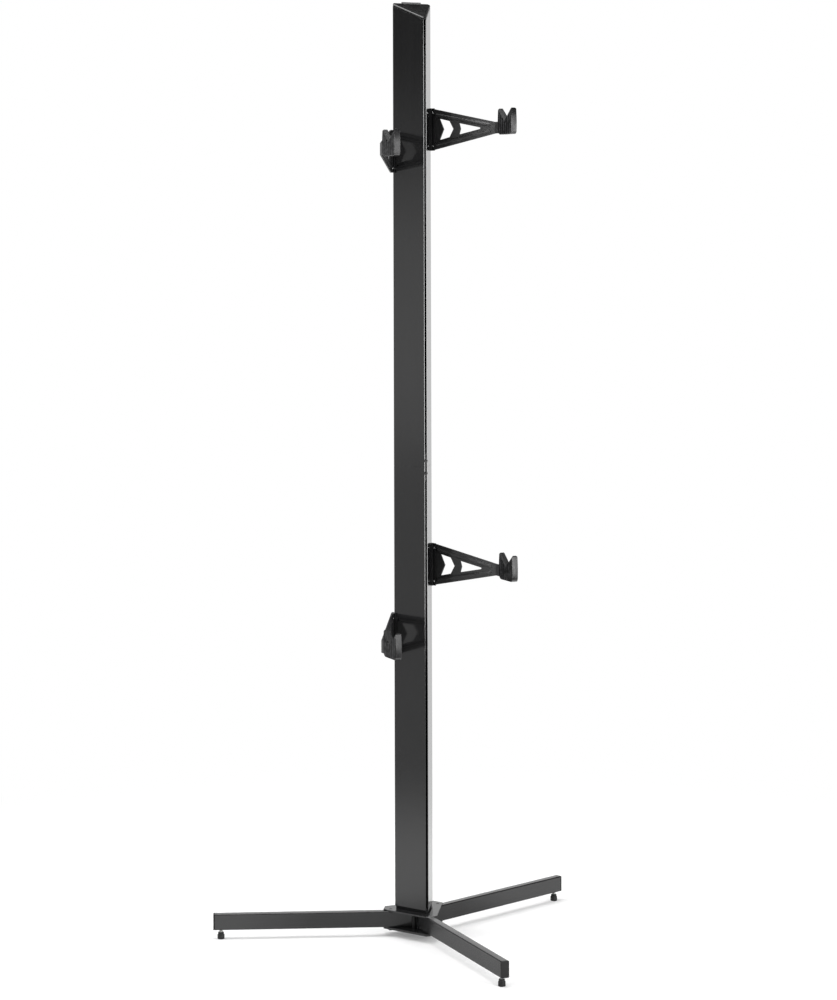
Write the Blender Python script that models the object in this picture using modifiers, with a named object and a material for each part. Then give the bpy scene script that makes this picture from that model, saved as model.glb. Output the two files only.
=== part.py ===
"""Free-standing storage column: a slotted triangular extrusion on a three-legged base, with four cradle arms.

Metres, +Z up. The open side, where frame tubes rest in the cradles, faces -Y. Everything is laid out round the
column's axis, which stands at (0, AXIS_Y) so that the origin is the middle of the footprint, on the floor.
"""

import math

import bmesh
import bpy
from mathutils import Matrix, Vector

# Clearances
GAP = 0.0003  # between pieces that touch
MERGE = 0.00001

# Column: two lengths of one extrusion, an equilateral triangle with a slot along each cut-off corner
COLUMN_SIDE = 0.100  # face width, measured to the sharp corners
COLUMN_FLAT = 0.0071  # width of the cut-off corner
COLUMN_WALL = 0.0020
COLUMN_TOP = 2.1085  # height of the slanted end at the rear face
COLUMN_SLANT = 25.0  # degrees, the end falls towards the front corner
JOINT_HEIGHT = 1.065  # where the two lengths meet
SLOT_MOUTH = 0.0046
SLOT_LIP = 0.0030
SLOT_FLOOR = 0.0390  # distance of the slot's floor from the axis
CORNERS = {"front": -90.0, "right": 30.0, "left": 150.0}  # directions of the three corners

# Sleeve, bar and screws that join the two lengths
SLEEVE_LENGTH = 0.240
SLEEVE_WALL = 0.0040
BAR_LENGTH = 0.060
JOINT_SCREW_OFFSET = 0.014  # above and below the joint

# Cap on the slanted end
CAP_THICKNESS = 0.0050
CAP_PLUG_DEPTH = 0.018
CAP_RIDGE_WIDTH = 0.046
CAP_RIDGE_DEPTH = 0.004
CAP_RIDGE_HEIGHT = 0.0020
CAP_BEVEL = 0.0015

# Base: three legs of rectangular tube clamped between two plates
LEG_WIDTH = 0.019
LEG_HEIGHT = 0.036
LEG_WALL = 0.0016
LEG_RADIUS = 0.0025  # of the tube's rounded edges
LEG_START = 0.014  # inner end, from the axis
LEG_REACH = 0.4626  # outer face of the end cap, from the axis
LEG_BOTTOM = 0.0210  # above the floor
LEG_SPREAD = 110.0  # degrees from the front leg to each of the others
LEG_CAP_THICKNESS = 0.0030
LEG_CAP_PLUG = 0.012
LEGS = {"front": 0.0, "right": LEG_SPREAD, "left": -LEG_SPREAD}
TOP_PLATE_THICKNESS = 0.0030
BOTTOM_PLATE_THICKNESS = 0.0045
PLATE_EDGE = 0.0500  # distance of a long edge from the axis
PLATE_TIP = 0.0770  # distance of a cut-off tip from the axis

# Foot of the column: a recessed shoulder on the top plate and a plug inside the extrusion
SHOULDER_HEIGHT = 0.0060
SHOULDER_RECESS = 0.0020
PLUG_HEIGHT = 0.060
PLUG_SCREW_HEIGHT = 0.035  # above the column's lower end
PLUG_SCREW_DIAMETER = 0.005
PLUG_SCREW_LENGTH = 0.015

# Levelling feet
FOOT_INSET = 0.0172  # from the leg's outer face
FOOT_DIAMETER = 0.016
FOOT_HEIGHT = 0.0155
FOOT_BEVEL = 0.0012
STUD_DIAMETER = 0.008
STUD_SEAT = 0.0060  # depth of the stud in the foot
STUD_LENGTH = 0.038
NUT_WIDTH = 0.0125
NUT_HEIGHT = 0.0065

# Bolts of the base
TIE_BOLT_DIAMETER = 0.010
TIE_BOLT_RADIUS = 0.0156  # from the axis, between the legs' inner ends
TIE_BOLT_DEPTH = 0.028  # thread inside the column's foot
TIE_BOLTS = {"left": -146.4, "right": -33.6, "rear": 90.0}
LEG_BOLT_DIAMETER = 0.006
LEG_BOLT_RADIUS = 0.0620

# Arms: pressed plates whose roots stand off the left and right corners
ARM_THICKNESS = 0.0030
ARM_ROOT_HEIGHT = 0.0965
ARM_ROOT_BACK = 0.015  # root edge, behind the corner
ARM_TAPER_START = 0.002
ARM_TIP_HEIGHT = 0.0260
ARM_BEND = 0.1797  # from the corner to the bend, where the tongue turns to the front
ARM_NECK = 0.0251  # tongue between the bend and the cradle
TONGUE_LENGTH = 0.055  # inside the cradle
TONGUE_EAR_START = 0.018  # ear round the cradle's screw, inside the cradle
TONGUE_EAR_FLAT = 0.023  # where its top starts to slope
TONGUE_EAR_END = 0.031
TONGUE_EAR_TOP = 0.0245
TONGUE_EAR_SLOPE = 0.0183  # height at which the ear's sloping edge ends
ARM_HEIGHTS = {"upper_right": 1.8274, "upper_left": 1.777, "lower_right": 0.8355, "lower_left": 0.681}
ARM_TURN = {"right": -60.0, "left": -120.0}
WINDOW_ROOT = 0.0253  # chevron window
WINDOW_ROOT_HEIGHT = 0.0485
WINDOW_SHOULDER = 0.0535
WINDOW_SHOULDER_HEIGHT = 0.0364
WINDOW_POINT = 0.0642
WINDOW_NOTCH = 0.0368
ARROW_BACK = 0.0800  # arrow window
ARROW_BACK_HEIGHT = 0.0256
ARROW_POINT = 0.1385
ARROW_POINT_HEIGHT = 0.003
ARROW_NOTCH = 0.0840

# Saddle between an arm's root and the corner of the column
SADDLE_NOSE = 0.0040
SADDLE_HALF_WIDTH = 0.0125
SADDLE_WALL = 0.0020
SADDLE_REACH = 0.0060  # along the faces
SADDLE_RELIEF = 0.0005  # the nose thins outside its lips, by this at them and again at its edges

# Slot nuts and clamp bolts
NUT_BAR_LENGTH = 0.080
CLAMP_BOLT_DIAMETER = 0.004
CLAMP_BOLT_OFFSET = 0.025

# Cradles
CRADLE_WIDTH = 0.0140
CRADLE_DEPTH = 0.070
CRADLE_HEIGHT = 0.059
CRADLE_BELOW = 0.0168  # below the arm's centre line
CRADLE_V_HALF = 0.032
CRADLE_V_DEPTH = 0.025
CRADLE_FLARE = 0.0032  # the V widens towards both side faces
CRADLE_FRONT_RADIUS = 0.007
CRADLE_BACK_RADIUS = 0.013
CRADLE_LEAN = 0.0025  # the back edge leans in towards its top
CRADLE_LEAN_HEIGHT = 0.036
CRADLE_TIP = 0.0035  # height of the prongs' rounded tips
CRADLE_BEVEL = 0.0018
CRADLE_SCREW_BACK = 0.0245  # from the back edge
CRADLE_SCREW_HEIGHT = 0.0350  # above the lower edge
CRADLE_SCREW_DIAMETER = 0.003
CRADLE_SCREW_HEAD = 0.0042

# Values that follow
CORNER_SHARP = COLUMN_SIDE / math.sqrt(3)
CORNER_RADIUS = CORNER_SHARP - COLUMN_FLAT / 2 * math.sqrt(3)
FACE_DISTANCE = CORNER_SHARP / 2
SPREAD_TURN = math.radians(LEG_SPREAD - 90)
REAR_REACH = LEG_REACH * math.sin(SPREAD_TURN) + LEG_WIDTH / 2 * math.cos(SPREAD_TURN)
AXIS_Y = (LEG_REACH - REAR_REACH) / 2
LEG_TOP = LEG_BOTTOM + LEG_HEIGHT
TOP_PLATE_LOW = LEG_TOP + GAP
TOP_PLATE_HIGH = TOP_PLATE_LOW + TOP_PLATE_THICKNESS
BOTTOM_PLATE_HIGH = LEG_BOTTOM - GAP
BOTTOM_PLATE_LOW = BOTTOM_PLATE_HIGH - BOTTOM_PLATE_THICKNESS
SHOULDER_LOW = TOP_PLATE_HIGH + GAP
COLUMN_LOW = SHOULDER_LOW + SHOULDER_HEIGHT + GAP
SADDLE_FACE = CORNER_RADIUS + GAP + SADDLE_NOSE
ARM_INNER = SADDLE_FACE + GAP
ARM_OUTER = ARM_INNER + ARM_THICKNESS
SLOT_ROOF = CORNER_RADIUS - SLOT_LIP
WALL_SHIFT = COLUMN_WALL / math.cos(math.radians(30))
TAN_30 = math.tan(math.radians(30))

ROUND_STEPS = 20
PARTS = "column_rack"
CUTTERS = "cutters"


def clear_scene():
    for obj in list(bpy.data.objects):
        bpy.data.objects.remove(obj)
    for name in (PARTS, CUTTERS):
        collection = bpy.data.collections.new(name)
        bpy.context.scene.collection.children.link(collection)


def material(name, colour, roughness, metallic=0.0):
    made = bpy.data.materials.get(name) or bpy.data.materials.new(name)
    made.use_nodes = True
    shader = made.node_tree.nodes["Principled BSDF"]
    shader.inputs["Base Color"].default_value = (*colour, 1.0)
    shader.inputs["Roughness"].default_value = roughness
    shader.inputs["Metallic"].default_value = metallic
    return made


def anodised():
    return material("black_anodised_aluminium", (0.020, 0.020, 0.021), 0.30, 0.9)


def coated():
    return material("black_powder_coat", (0.016, 0.016, 0.017), 0.45)


def moulded():
    return material("black_moulded_plastic", (0.012, 0.012, 0.012), 0.55)


def rubber():
    return material("black_rubber", (0.018, 0.018, 0.019), 0.80)


def steel():
    return material("zinc_plated_steel", (0.55, 0.55, 0.56), 0.35, 1.0)


def oxide():
    return material("black_oxide_steel", (0.030, 0.030, 0.032), 0.40, 0.9)


def polar(radius, degrees):
    angle = math.radians(degrees)
    return Vector((radius * math.cos(angle), radius * math.sin(angle)))


def arc(centre, radius, start, end, steps):
    """Points of an arc, both ends included, angles in degrees."""
    return [Vector(centre) + polar(radius, start + (end - start) * i / steps) for i in range(steps + 1)]


def rounded_rectangle(width, height, radius, steps=3):
    x = width / 2 - radius
    y = height / 2 - radius
    points = arc((x, y), radius, 0, 90, steps)
    points += arc((-x, y), radius, 90, 180, steps)
    points += arc((-x, -y), radius, 180, 270, steps)
    return points + arc((x, -y), radius, 270, 360, steps)


def cut_triangle(edge, tip):
    """A triangle with its long edges at edge from the axis and its corners cut off at tip."""
    half = (2 * edge - tip) * TAN_30
    points = []
    for degrees in sorted(CORNERS.values()):
        along = polar(1, degrees)
        across = polar(1, degrees + 90)
        points += [along * tip - across * half, along * tip + across * half]
    return points


def extruded(outlines, low, high):
    """A bmesh of flat outlines, the outer edge and its holes, drawn out along Z."""
    # The fill is drawn larger than life, because it takes very short edges for none.
    enlarge = 1000
    curve = bpy.data.curves.new("outline", "CURVE")
    curve.dimensions = "2D"
    curve.fill_mode = "BOTH"
    curve.extrude = (high - low) / 2 * enlarge
    for outline in outlines:
        spline = curve.splines.new("POLY")
        spline.points.add(len(outline) - 1)
        for point, place in zip(spline.points, outline):
            point.co = (place[0] * enlarge, place[1] * enlarge, 0, 1)
        spline.use_cyclic_u = True
    holder = bpy.data.objects.new("outline", curve)
    bpy.context.scene.collection.objects.link(holder)
    graph = bpy.context.evaluated_depsgraph_get()
    mesh = bpy.data.meshes.new_from_object(holder.evaluated_get(graph))
    bm = bmesh.new()
    bm.from_mesh(mesh)
    bpy.data.objects.remove(holder)
    bpy.data.meshes.remove(mesh)
    bmesh.ops.scale(bm, vec=(1 / enlarge, 1 / enlarge, 1 / enlarge), verts=bm.verts)
    bmesh.ops.remove_doubles(bm, verts=bm.verts, dist=MERGE)
    bmesh.ops.translate(bm, vec=(0, 0, (low + high) / 2), verts=bm.verts)
    return bm


def axis_matrix(start, end):
    """The matrix that lays a primitive, made round Z, between two points."""
    start = Vector(start)
    end = Vector(end)
    turn = (end - start).to_track_quat("Z", "Y").to_matrix().to_4x4()
    return Matrix.Translation((start + end) / 2) @ turn


def add_rod(bm, radius, start, end, segments=ROUND_STEPS):
    length = (Vector(end) - Vector(start)).length
    bmesh.ops.create_cone(
        bm, cap_ends=True, segments=segments, radius1=radius, radius2=radius, depth=length,
        matrix=axis_matrix(start, end),
    )


def add_box(bm, low, high):
    low = Vector(low)
    high = Vector(high)
    size = Matrix.Diagonal((*(high - low), 1))
    bmesh.ops.create_cube(bm, size=1, matrix=Matrix.Translation((low + high) / 2) @ size)


def finish(bm, name, look, parent, collection=PARTS):
    """Turns a bmesh into a named object under its parent."""
    bmesh.ops.recalc_face_normals(bm, faces=bm.faces)
    mesh = bpy.data.meshes.new(name)
    bm.to_mesh(mesh)
    bm.free()
    mesh.shade_smooth()
    mesh.set_sharp_from_angle(angle=math.radians(35))
    obj = bpy.data.objects.new(name, mesh)
    bpy.data.collections[collection].objects.link(obj)
    obj.parent = parent
    if look:
        mesh.materials.append(look)
    return obj


def bevel(obj, width, segments=1):
    modifier = obj.modifiers.new("rounded_edges", "BEVEL")
    modifier.width = width
    modifier.segments = segments
    modifier.limit_method = "ANGLE"
    modifier.angle_limit = math.radians(50)


def combine(obj, bm, operation, name):
    """Joins a helper shape to an object, or cuts it away."""
    helper = finish(bm, name, None, obj.parent, CUTTERS)
    helper.location = obj.location
    helper.rotation_euler = obj.rotation_euler
    helper.hide_render = True
    helper.display_type = "WIRE"
    modifier = obj.modifiers.new(name, "BOOLEAN")
    modifier.operation = operation
    modifier.object = helper


def drill(obj, holes):
    """Cuts round holes, each a radius and the two ends of its axis in the object's own frame."""
    bm = bmesh.new()
    for radius, start, end in holes:
        add_rod(bm, radius, start, end)
    combine(obj, bm, "DIFFERENCE", obj.name + "_holes")


def turned(name, profile, look, parent, steps=ROUND_STEPS):
    """A solid of revolution round Z. The profile runs down its outer side, from the axis back to the axis."""
    mesh = bpy.data.meshes.new(name)
    bm = bmesh.new()
    ring = [bm.verts.new((radius, 0, height)) for radius, height in profile]
    for first, second in zip(ring, ring[1:]):
        bm.edges.new((first, second))
    bm.to_mesh(mesh)
    bm.free()
    obj = bpy.data.objects.new(name, mesh)
    bpy.data.collections[PARTS].objects.link(obj)
    obj.parent = parent
    mesh.materials.append(look)
    spin = obj.modifiers.new("turned", "SCREW")
    spin.steps = steps
    spin.render_steps = steps
    spin.use_merge_vertices = True
    spin.merge_threshold = MERGE
    return obj


def place(obj, location, direction=None):
    """Moves an object's origin, and turns its own Z to a direction."""
    obj.location = location
    if direction is not None:
        obj.rotation_euler = Vector(direction).to_track_quat("Z", "Y").to_euler()
    return obj


def bolt(name, diameter, length, head, height, look, parent):
    """A bolt with its shank down from the origin and its head above, with a round key recess."""
    shank = diameter / 2
    key = head * 0.22
    profile = [
        (0, height * 0.45),
        (key, height * 0.45),
        (key, height),
        (head * 0.34, height),
        (head / 2, height * 0.45),
        (head / 2, 0),
        (shank, 0),
        (shank, -length + shank * 0.3),
        (shank * 0.7, -length),
        (0, -length),
    ]
    return turned(name, profile, look, parent)


def empty(name, location, parent=None):
    obj = bpy.data.objects.new(name, None)
    bpy.data.collections[PARTS].objects.link(obj)
    obj.location = location
    obj.parent = parent
    return obj


def slot_half_width(distance):
    """Half the slot's width at a distance from the axis, between walls that follow the faces."""
    return (CORNER_SHARP - distance) * TAN_30 - WALL_SHIFT


def column_outline():
    half_mouth = SLOT_MOUTH / 2
    corner = [
        (CORNER_RADIUS, COLUMN_FLAT / 2),
        (CORNER_RADIUS, half_mouth),
        (SLOT_ROOF, half_mouth),
        (SLOT_ROOF, slot_half_width(SLOT_ROOF)),
        (SLOT_FLOOR, slot_half_width(SLOT_FLOOR)),
    ]
    points = []
    for degrees in sorted(CORNERS.values()):
        along = polar(1, degrees)
        across = polar(1, degrees + 90)
        points += [along * out - across * side for out, side in corner]
        points += [along * out + across * side for out, side in reversed(corner)]
    return points


def hollow_outline(inset):
    """The extrusion's inner hollow, drawn in by inset."""
    return cut_triangle(FACE_DISTANCE - COLUMN_WALL - inset, SLOT_FLOOR - COLUMN_WALL - inset)


def end_height(y, lift):
    """Height of the slanted end at a distance y from the axis, lifted square to itself."""
    slant = math.radians(COLUMN_SLANT)
    return COLUMN_TOP + (y - FACE_DISTANCE) * math.tan(slant) + lift / math.cos(slant)


def slant_top(bm, above, lift):
    """Moves the points above a height to the slanted end."""
    for vert in bm.verts:
        if vert.co.z > above:
            vert.co.z = end_height(vert.co.y, lift)


def build_column(rack):
    joint_hole = CLAMP_BOLT_DIAMETER / 2 + GAP
    plug_hole = PLUG_SCREW_DIAMETER / 2 + GAP
    front = Vector((0, -1, 0))
    screw_start = front * (SLOT_ROOF + SLOT_LIP / 2)
    screw_end = front * (SLOT_FLOOR - COLUMN_WALL - SLEEVE_WALL)
    spans = {"column_lower": (COLUMN_LOW, JOINT_HEIGHT - GAP / 2), "column_upper": (JOINT_HEIGHT + GAP / 2, COLUMN_TOP)}
    for name, (low, high) in spans.items():
        bm = extruded([column_outline(), hollow_outline(0)], low, high)
        if name == "column_upper":
            slant_top(bm, (low + high) / 2, 0)
        length = finish(bm, name, anodised(), rack)
        level = JOINT_HEIGHT + (JOINT_SCREW_OFFSET if name == "column_upper" else -JOINT_SCREW_OFFSET)
        holes = [(joint_hole, front * SLOT_FLOOR * 1.05 + Vector((0, 0, level)), screw_end + Vector((0, 0, level)))]
        if name == "column_lower":
            level = COLUMN_LOW + PLUG_SCREW_HEIGHT
            holes.append((plug_hole, (0, FACE_DISTANCE * 1.1, level), (0, FACE_DISTANCE * 0.85, level)))
        drill(length, holes)

    low = JOINT_HEIGHT - SLEEVE_LENGTH / 2
    inner = hollow_outline(GAP + SLEEVE_WALL)
    sleeve = finish(
        extruded([hollow_outline(GAP), inner], low, low + SLEEVE_LENGTH), "joint_sleeve", anodised(), rack
    )
    bar = finish(slot_bar(BAR_LENGTH), "joint_bar", oxide(), rack)
    bar.location = (0, 0, JOINT_HEIGHT)
    bar.rotation_euler.z = math.radians(CORNERS["front"])
    levels = (JOINT_SCREW_OFFSET, -JOINT_SCREW_OFFSET)
    drill(bar, [(joint_hole, (SLOT_FLOOR * 0.95, 0, level), (CORNER_RADIUS, 0, level)) for level in levels])
    reach = front * (SLOT_FLOOR - COLUMN_WALL * 2 - SLEEVE_WALL * 1.5)
    centre = Vector((0, 0, JOINT_HEIGHT))
    drill(sleeve, [
        (joint_hole, front * SLOT_FLOOR + centre + Vector((0, 0, level)), reach + centre + Vector((0, 0, level)))
        for level in levels
    ])
    length = CORNER_RADIUS + GAP - (SLOT_FLOOR - COLUMN_WALL - SLEEVE_WALL)
    for name, level in zip(("joint_screw_upper", "joint_screw_lower"), levels):
        screw = bolt(name, CLAMP_BOLT_DIAMETER, length, 0.0075, 0.0022, oxide(), rack)
        place(screw, front * (CORNER_RADIUS + GAP) + centre + Vector((0, 0, level)), front)


def slot_bar(length):
    """A bar that slides in a corner slot, along local Z with the slot's mouth towards +X."""
    outer = SLOT_ROOF - GAP
    inner = SLOT_FLOOR + GAP * 2
    slack = GAP / math.cos(math.radians(30))
    wide = slot_half_width(inner) - slack
    narrow = slot_half_width(outer) - slack
    outline = [(outer, -narrow), (outer, narrow), (inner, wide), (inner, -wide)]
    return extruded([outline], -length / 2, length / 2)


def build_cap(rack):
    low = COLUMN_TOP - COLUMN_SIDE
    bm = extruded([cut_triangle(FACE_DISTANCE, CORNER_RADIUS)], low, COLUMN_TOP)
    for vert in bm.verts:
        vert.co.z = end_height(vert.co.y, GAP if vert.co.z < (low + COLUMN_TOP) / 2 else GAP + CAP_THICKNESS)
    cap = finish(bm, "top_cap", moulded(), rack)
    bevel(cap, CAP_BEVEL)
    plug = extruded([hollow_outline(GAP)], low, COLUMN_TOP)
    for vert in plug.verts:
        under = vert.co.z < (low + COLUMN_TOP) / 2
        vert.co.z = end_height(vert.co.y, -CAP_PLUG_DEPTH if under else GAP + CAP_THICKNESS / 2)
    combine(cap, plug, "UNION", "top_cap_plug")
    ridge = bmesh.new()
    rear = FACE_DISTANCE - CAP_BEVEL
    add_box(ridge, (-CAP_RIDGE_WIDTH / 2, rear - CAP_RIDGE_DEPTH, -1), (CAP_RIDGE_WIDTH / 2, rear, 1))
    top = end_height(FACE_DISTANCE, GAP + CAP_THICKNESS) + CAP_RIDGE_HEIGHT
    for vert in ridge.verts:
        vert.co.z = top if vert.co.z > 0 else end_height(vert.co.y, GAP + CAP_THICKNESS / 2)
    combine(cap, ridge, "UNION", "top_cap_ridge")


def build_column_foot(rack):
    recess = SHOULDER_RECESS
    shoulder_outline = cut_triangle(FACE_DISTANCE - recess, CORNER_RADIUS - recess)
    bm = extruded([shoulder_outline], SHOULDER_LOW, SHOULDER_LOW + SHOULDER_HEIGHT)
    foot = finish(bm, "column_foot", moulded(), rack)
    plug = extruded([hollow_outline(GAP)], SHOULDER_LOW + SHOULDER_HEIGHT / 2, COLUMN_LOW + PLUG_HEIGHT)
    combine(foot, plug, "UNION", "column_foot_plug")
    holes = []
    for degrees in TIE_BOLTS.values():
        spot = polar(TIE_BOLT_RADIUS, degrees)
        end = SHOULDER_LOW + TIE_BOLT_DEPTH + GAP
        holes.append((TIE_BOLT_DIAMETER / 2 + GAP, (*spot, SHOULDER_LOW - 0.002), (*spot, end)))
    level = COLUMN_LOW + PLUG_SCREW_HEIGHT
    deep = FACE_DISTANCE - PLUG_SCREW_LENGTH - GAP
    holes.append((PLUG_SCREW_DIAMETER / 2 + GAP, (0, FACE_DISTANCE, level), (0, deep, level)))
    drill(foot, holes)
    screw = bolt("column_foot_screw", PLUG_SCREW_DIAMETER, PLUG_SCREW_LENGTH, 0.0095, 0.0028, oxide(), rack)
    place(screw, (0, FACE_DISTANCE + GAP, level), (0, 1, 0))


def build_plates(rack):
    outline = cut_triangle(PLATE_EDGE, PLATE_TIP)
    top = finish(extruded([outline], TOP_PLATE_LOW, TOP_PLATE_HIGH), "base_top_plate", coated(), rack)
    bottom = finish(extruded([outline], BOTTOM_PLATE_LOW, BOTTOM_PLATE_HIGH), "base_bottom_plate", coated(), rack)
    spots = [(TIE_BOLT_DIAMETER / 2 + GAP, polar(TIE_BOLT_RADIUS, degrees)) for degrees in TIE_BOLTS.values()]
    for turn in LEGS.values():
        spots.append((LEG_BOLT_DIAMETER / 2 + GAP, polar(LEG_BOLT_RADIUS, turn - 90)))
    for plate, low, high in ((top, TOP_PLATE_LOW, TOP_PLATE_HIGH), (bottom, BOTTOM_PLATE_LOW, BOTTOM_PLATE_HIGH)):
        over = 0.002
        drill(plate, [(radius, (*spot, low - over), (*spot, high + over)) for radius, spot in spots])
    length = SHOULDER_LOW + TIE_BOLT_DEPTH - BOTTOM_PLATE_LOW
    for name, degrees in TIE_BOLTS.items():
        tie = bolt("tie_bolt_" + name, TIE_BOLT_DIAMETER, length, 0.013, 0.0045, oxide(), rack)
        place(tie, (*polar(TIE_BOLT_RADIUS, degrees), BOTTOM_PLATE_LOW - GAP), (0, 0, -1))


def build_leg(rack, name, turn):
    """One leg with its end cap, bolt and levelling foot. The leg lies along its parent's +X."""
    holder = empty(name + "_leg_line", (0, 0, 0), rack)
    holder.rotation_euler.z = math.radians(turn - 90)
    middle = LEG_BOTTOM + LEG_HEIGHT / 2
    tube_end = LEG_REACH - LEG_CAP_THICKNESS - GAP
    lay = Matrix.Translation((0, 0, middle)) @ axis_matrix((-1, 0, 0), (1, 0, 0))
    outer = rounded_rectangle(LEG_WIDTH, LEG_HEIGHT, LEG_RADIUS)
    inner = rounded_rectangle(LEG_WIDTH - 2 * LEG_WALL, LEG_HEIGHT - 2 * LEG_WALL, LEG_RADIUS - LEG_WALL, 1)
    bm = extruded([outer, inner], LEG_START, tube_end)
    bmesh.ops.transform(bm, matrix=lay, verts=bm.verts)
    leg = finish(bm, name + "_leg", coated(), holder)
    foot_at = LEG_REACH - FOOT_INSET
    over = 0.002
    drill(leg, [
        (LEG_BOLT_DIAMETER / 2 + GAP, (LEG_BOLT_RADIUS, 0, LEG_BOTTOM - over), (LEG_BOLT_RADIUS, 0, LEG_TOP + over)),
        (STUD_DIAMETER / 2 + GAP, (foot_at, 0, LEG_BOTTOM - over), (foot_at, 0, LEG_BOTTOM + LEG_WALL + over)),
    ])

    bm = extruded([outer], LEG_REACH - LEG_CAP_THICKNESS, LEG_REACH)
    bmesh.ops.transform(bm, matrix=lay, verts=bm.verts)
    cap = finish(bm, name + "_leg_end", moulded(), holder)
    slack = 2 * (LEG_WALL + GAP)
    fit = rounded_rectangle(LEG_WIDTH - slack, LEG_HEIGHT - slack, LEG_RADIUS - LEG_WALL, 1)
    plug_end = foot_at + NUT_WIDTH / 2 + GAP
    bm = extruded([fit], max(plug_end, tube_end - LEG_CAP_PLUG), LEG_REACH - LEG_CAP_THICKNESS / 2)
    bmesh.ops.transform(bm, matrix=lay, verts=bm.verts)
    combine(cap, bm, "UNION", name + "_leg_end_plug")

    length = TOP_PLATE_HIGH - GAP - BOTTOM_PLATE_LOW
    leg_bolt = bolt(name + "_leg_bolt", LEG_BOLT_DIAMETER, length, 0.0105, 0.0035, oxide(), holder)
    place(leg_bolt, (LEG_BOLT_RADIUS, 0, BOTTOM_PLATE_LOW - GAP), (0, 0, -1))

    nut = bmesh.new()
    nut_low = LEG_BOTTOM + LEG_WALL + GAP
    add_rod(nut, NUT_WIDTH / math.sqrt(3), (foot_at, 0, nut_low), (foot_at, 0, nut_low + NUT_HEIGHT), 6)
    nut = finish(nut, name + "_foot_nut", steel(), holder)
    drill(nut, [(STUD_DIAMETER / 2 + GAP, (foot_at, 0, nut_low - over), (foot_at, 0, nut_low + NUT_HEIGHT + over))])

    slide = empty(name + "_foot_slide", (foot_at, 0, 0), holder)
    seat = FOOT_HEIGHT - STUD_SEAT
    rim = FOOT_DIAMETER / 2
    hole = STUD_DIAMETER / 2 + GAP
    turned(name + "_foot_pad", [
        (0, seat),
        (hole, seat),
        (hole, FOOT_HEIGHT),
        (rim - FOOT_BEVEL, FOOT_HEIGHT),
        (rim, FOOT_HEIGHT - FOOT_BEVEL),
        (rim, FOOT_BEVEL),
        (rim - FOOT_BEVEL, 0),
        (0, 0),
    ], rubber(), slide)
    shank = STUD_DIAMETER / 2
    top = seat + GAP + STUD_LENGTH
    turned(name + "_foot_stud", [
        (0, top),
        (shank * 0.75, top),
        (shank, top - shank * 0.25),
        (shank, seat + GAP),
        (0, seat + GAP),
    ], steel(), slide)


def arm_outlines():
    """The flat pattern of an arm: its edge and its two windows, x out from the corner and y up."""
    root = ARM_ROOT_HEIGHT / 2
    tip = ARM_TIP_HEIGHT / 2
    cradle = ARM_BEND + ARM_NECK
    end = cradle + TONGUE_LENGTH
    ear = cradle + TONGUE_EAR_START
    edge = [
        (-ARM_ROOT_BACK, -root),
        (ARM_TAPER_START, -root),
        (ARM_BEND, -tip),
        (end, -tip),
        (end, tip),
        (cradle + TONGUE_EAR_END, tip),
        (cradle + TONGUE_EAR_END, TONGUE_EAR_SLOPE),
        (cradle + TONGUE_EAR_FLAT, TONGUE_EAR_TOP),
        (ear, TONGUE_EAR_TOP),
        (ear, tip),
        (ARM_BEND, tip),
        (ARM_TAPER_START, root),
        (-ARM_ROOT_BACK, root),
    ]
    chevron = [
        (WINDOW_ROOT, -WINDOW_ROOT_HEIGHT / 2),
        (WINDOW_SHOULDER, -WINDOW_SHOULDER_HEIGHT / 2),
        (WINDOW_POINT, 0),
        (WINDOW_SHOULDER, WINDOW_SHOULDER_HEIGHT / 2),
        (WINDOW_ROOT, WINDOW_ROOT_HEIGHT / 2),
        (WINDOW_NOTCH, 0),
    ]
    arrow = [
        (ARROW_BACK, -ARROW_BACK_HEIGHT / 2),
        (ARROW_POINT, -ARROW_POINT_HEIGHT / 2),
        (ARROW_POINT, ARROW_POINT_HEIGHT / 2),
        (ARROW_BACK, ARROW_BACK_HEIGHT / 2),
        (ARROW_NOTCH, 0),
    ]
    return [edge, chevron, arrow]


def saddle_outline():
    """Half a saddle in plan, x across the corner and y out from the axis."""
    start = Vector((COLUMN_FLAT / 2, CORNER_RADIUS))
    along = polar(1, -60)
    outward = polar(1, 30)
    reach = start + along * SADDLE_REACH
    slab = SADDLE_FACE - SADDLE_NOSE
    relief = slab + SADDLE_RELIEF
    outer = start + outward * (GAP + SADDLE_WALL)
    inner = start + outward * GAP
    return [
        Vector((SADDLE_HALF_WIDTH, SADDLE_FACE)),
        Vector((SADDLE_HALF_WIDTH, relief + SADDLE_RELIEF)),
        outer - along * (relief - outer.y) * 2 / math.sqrt(3),
        reach + outward * (GAP + SADDLE_WALL),
        reach + outward * GAP,
        inner - along * (slab - inner.y) * 2 / math.sqrt(3),
    ]


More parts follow.
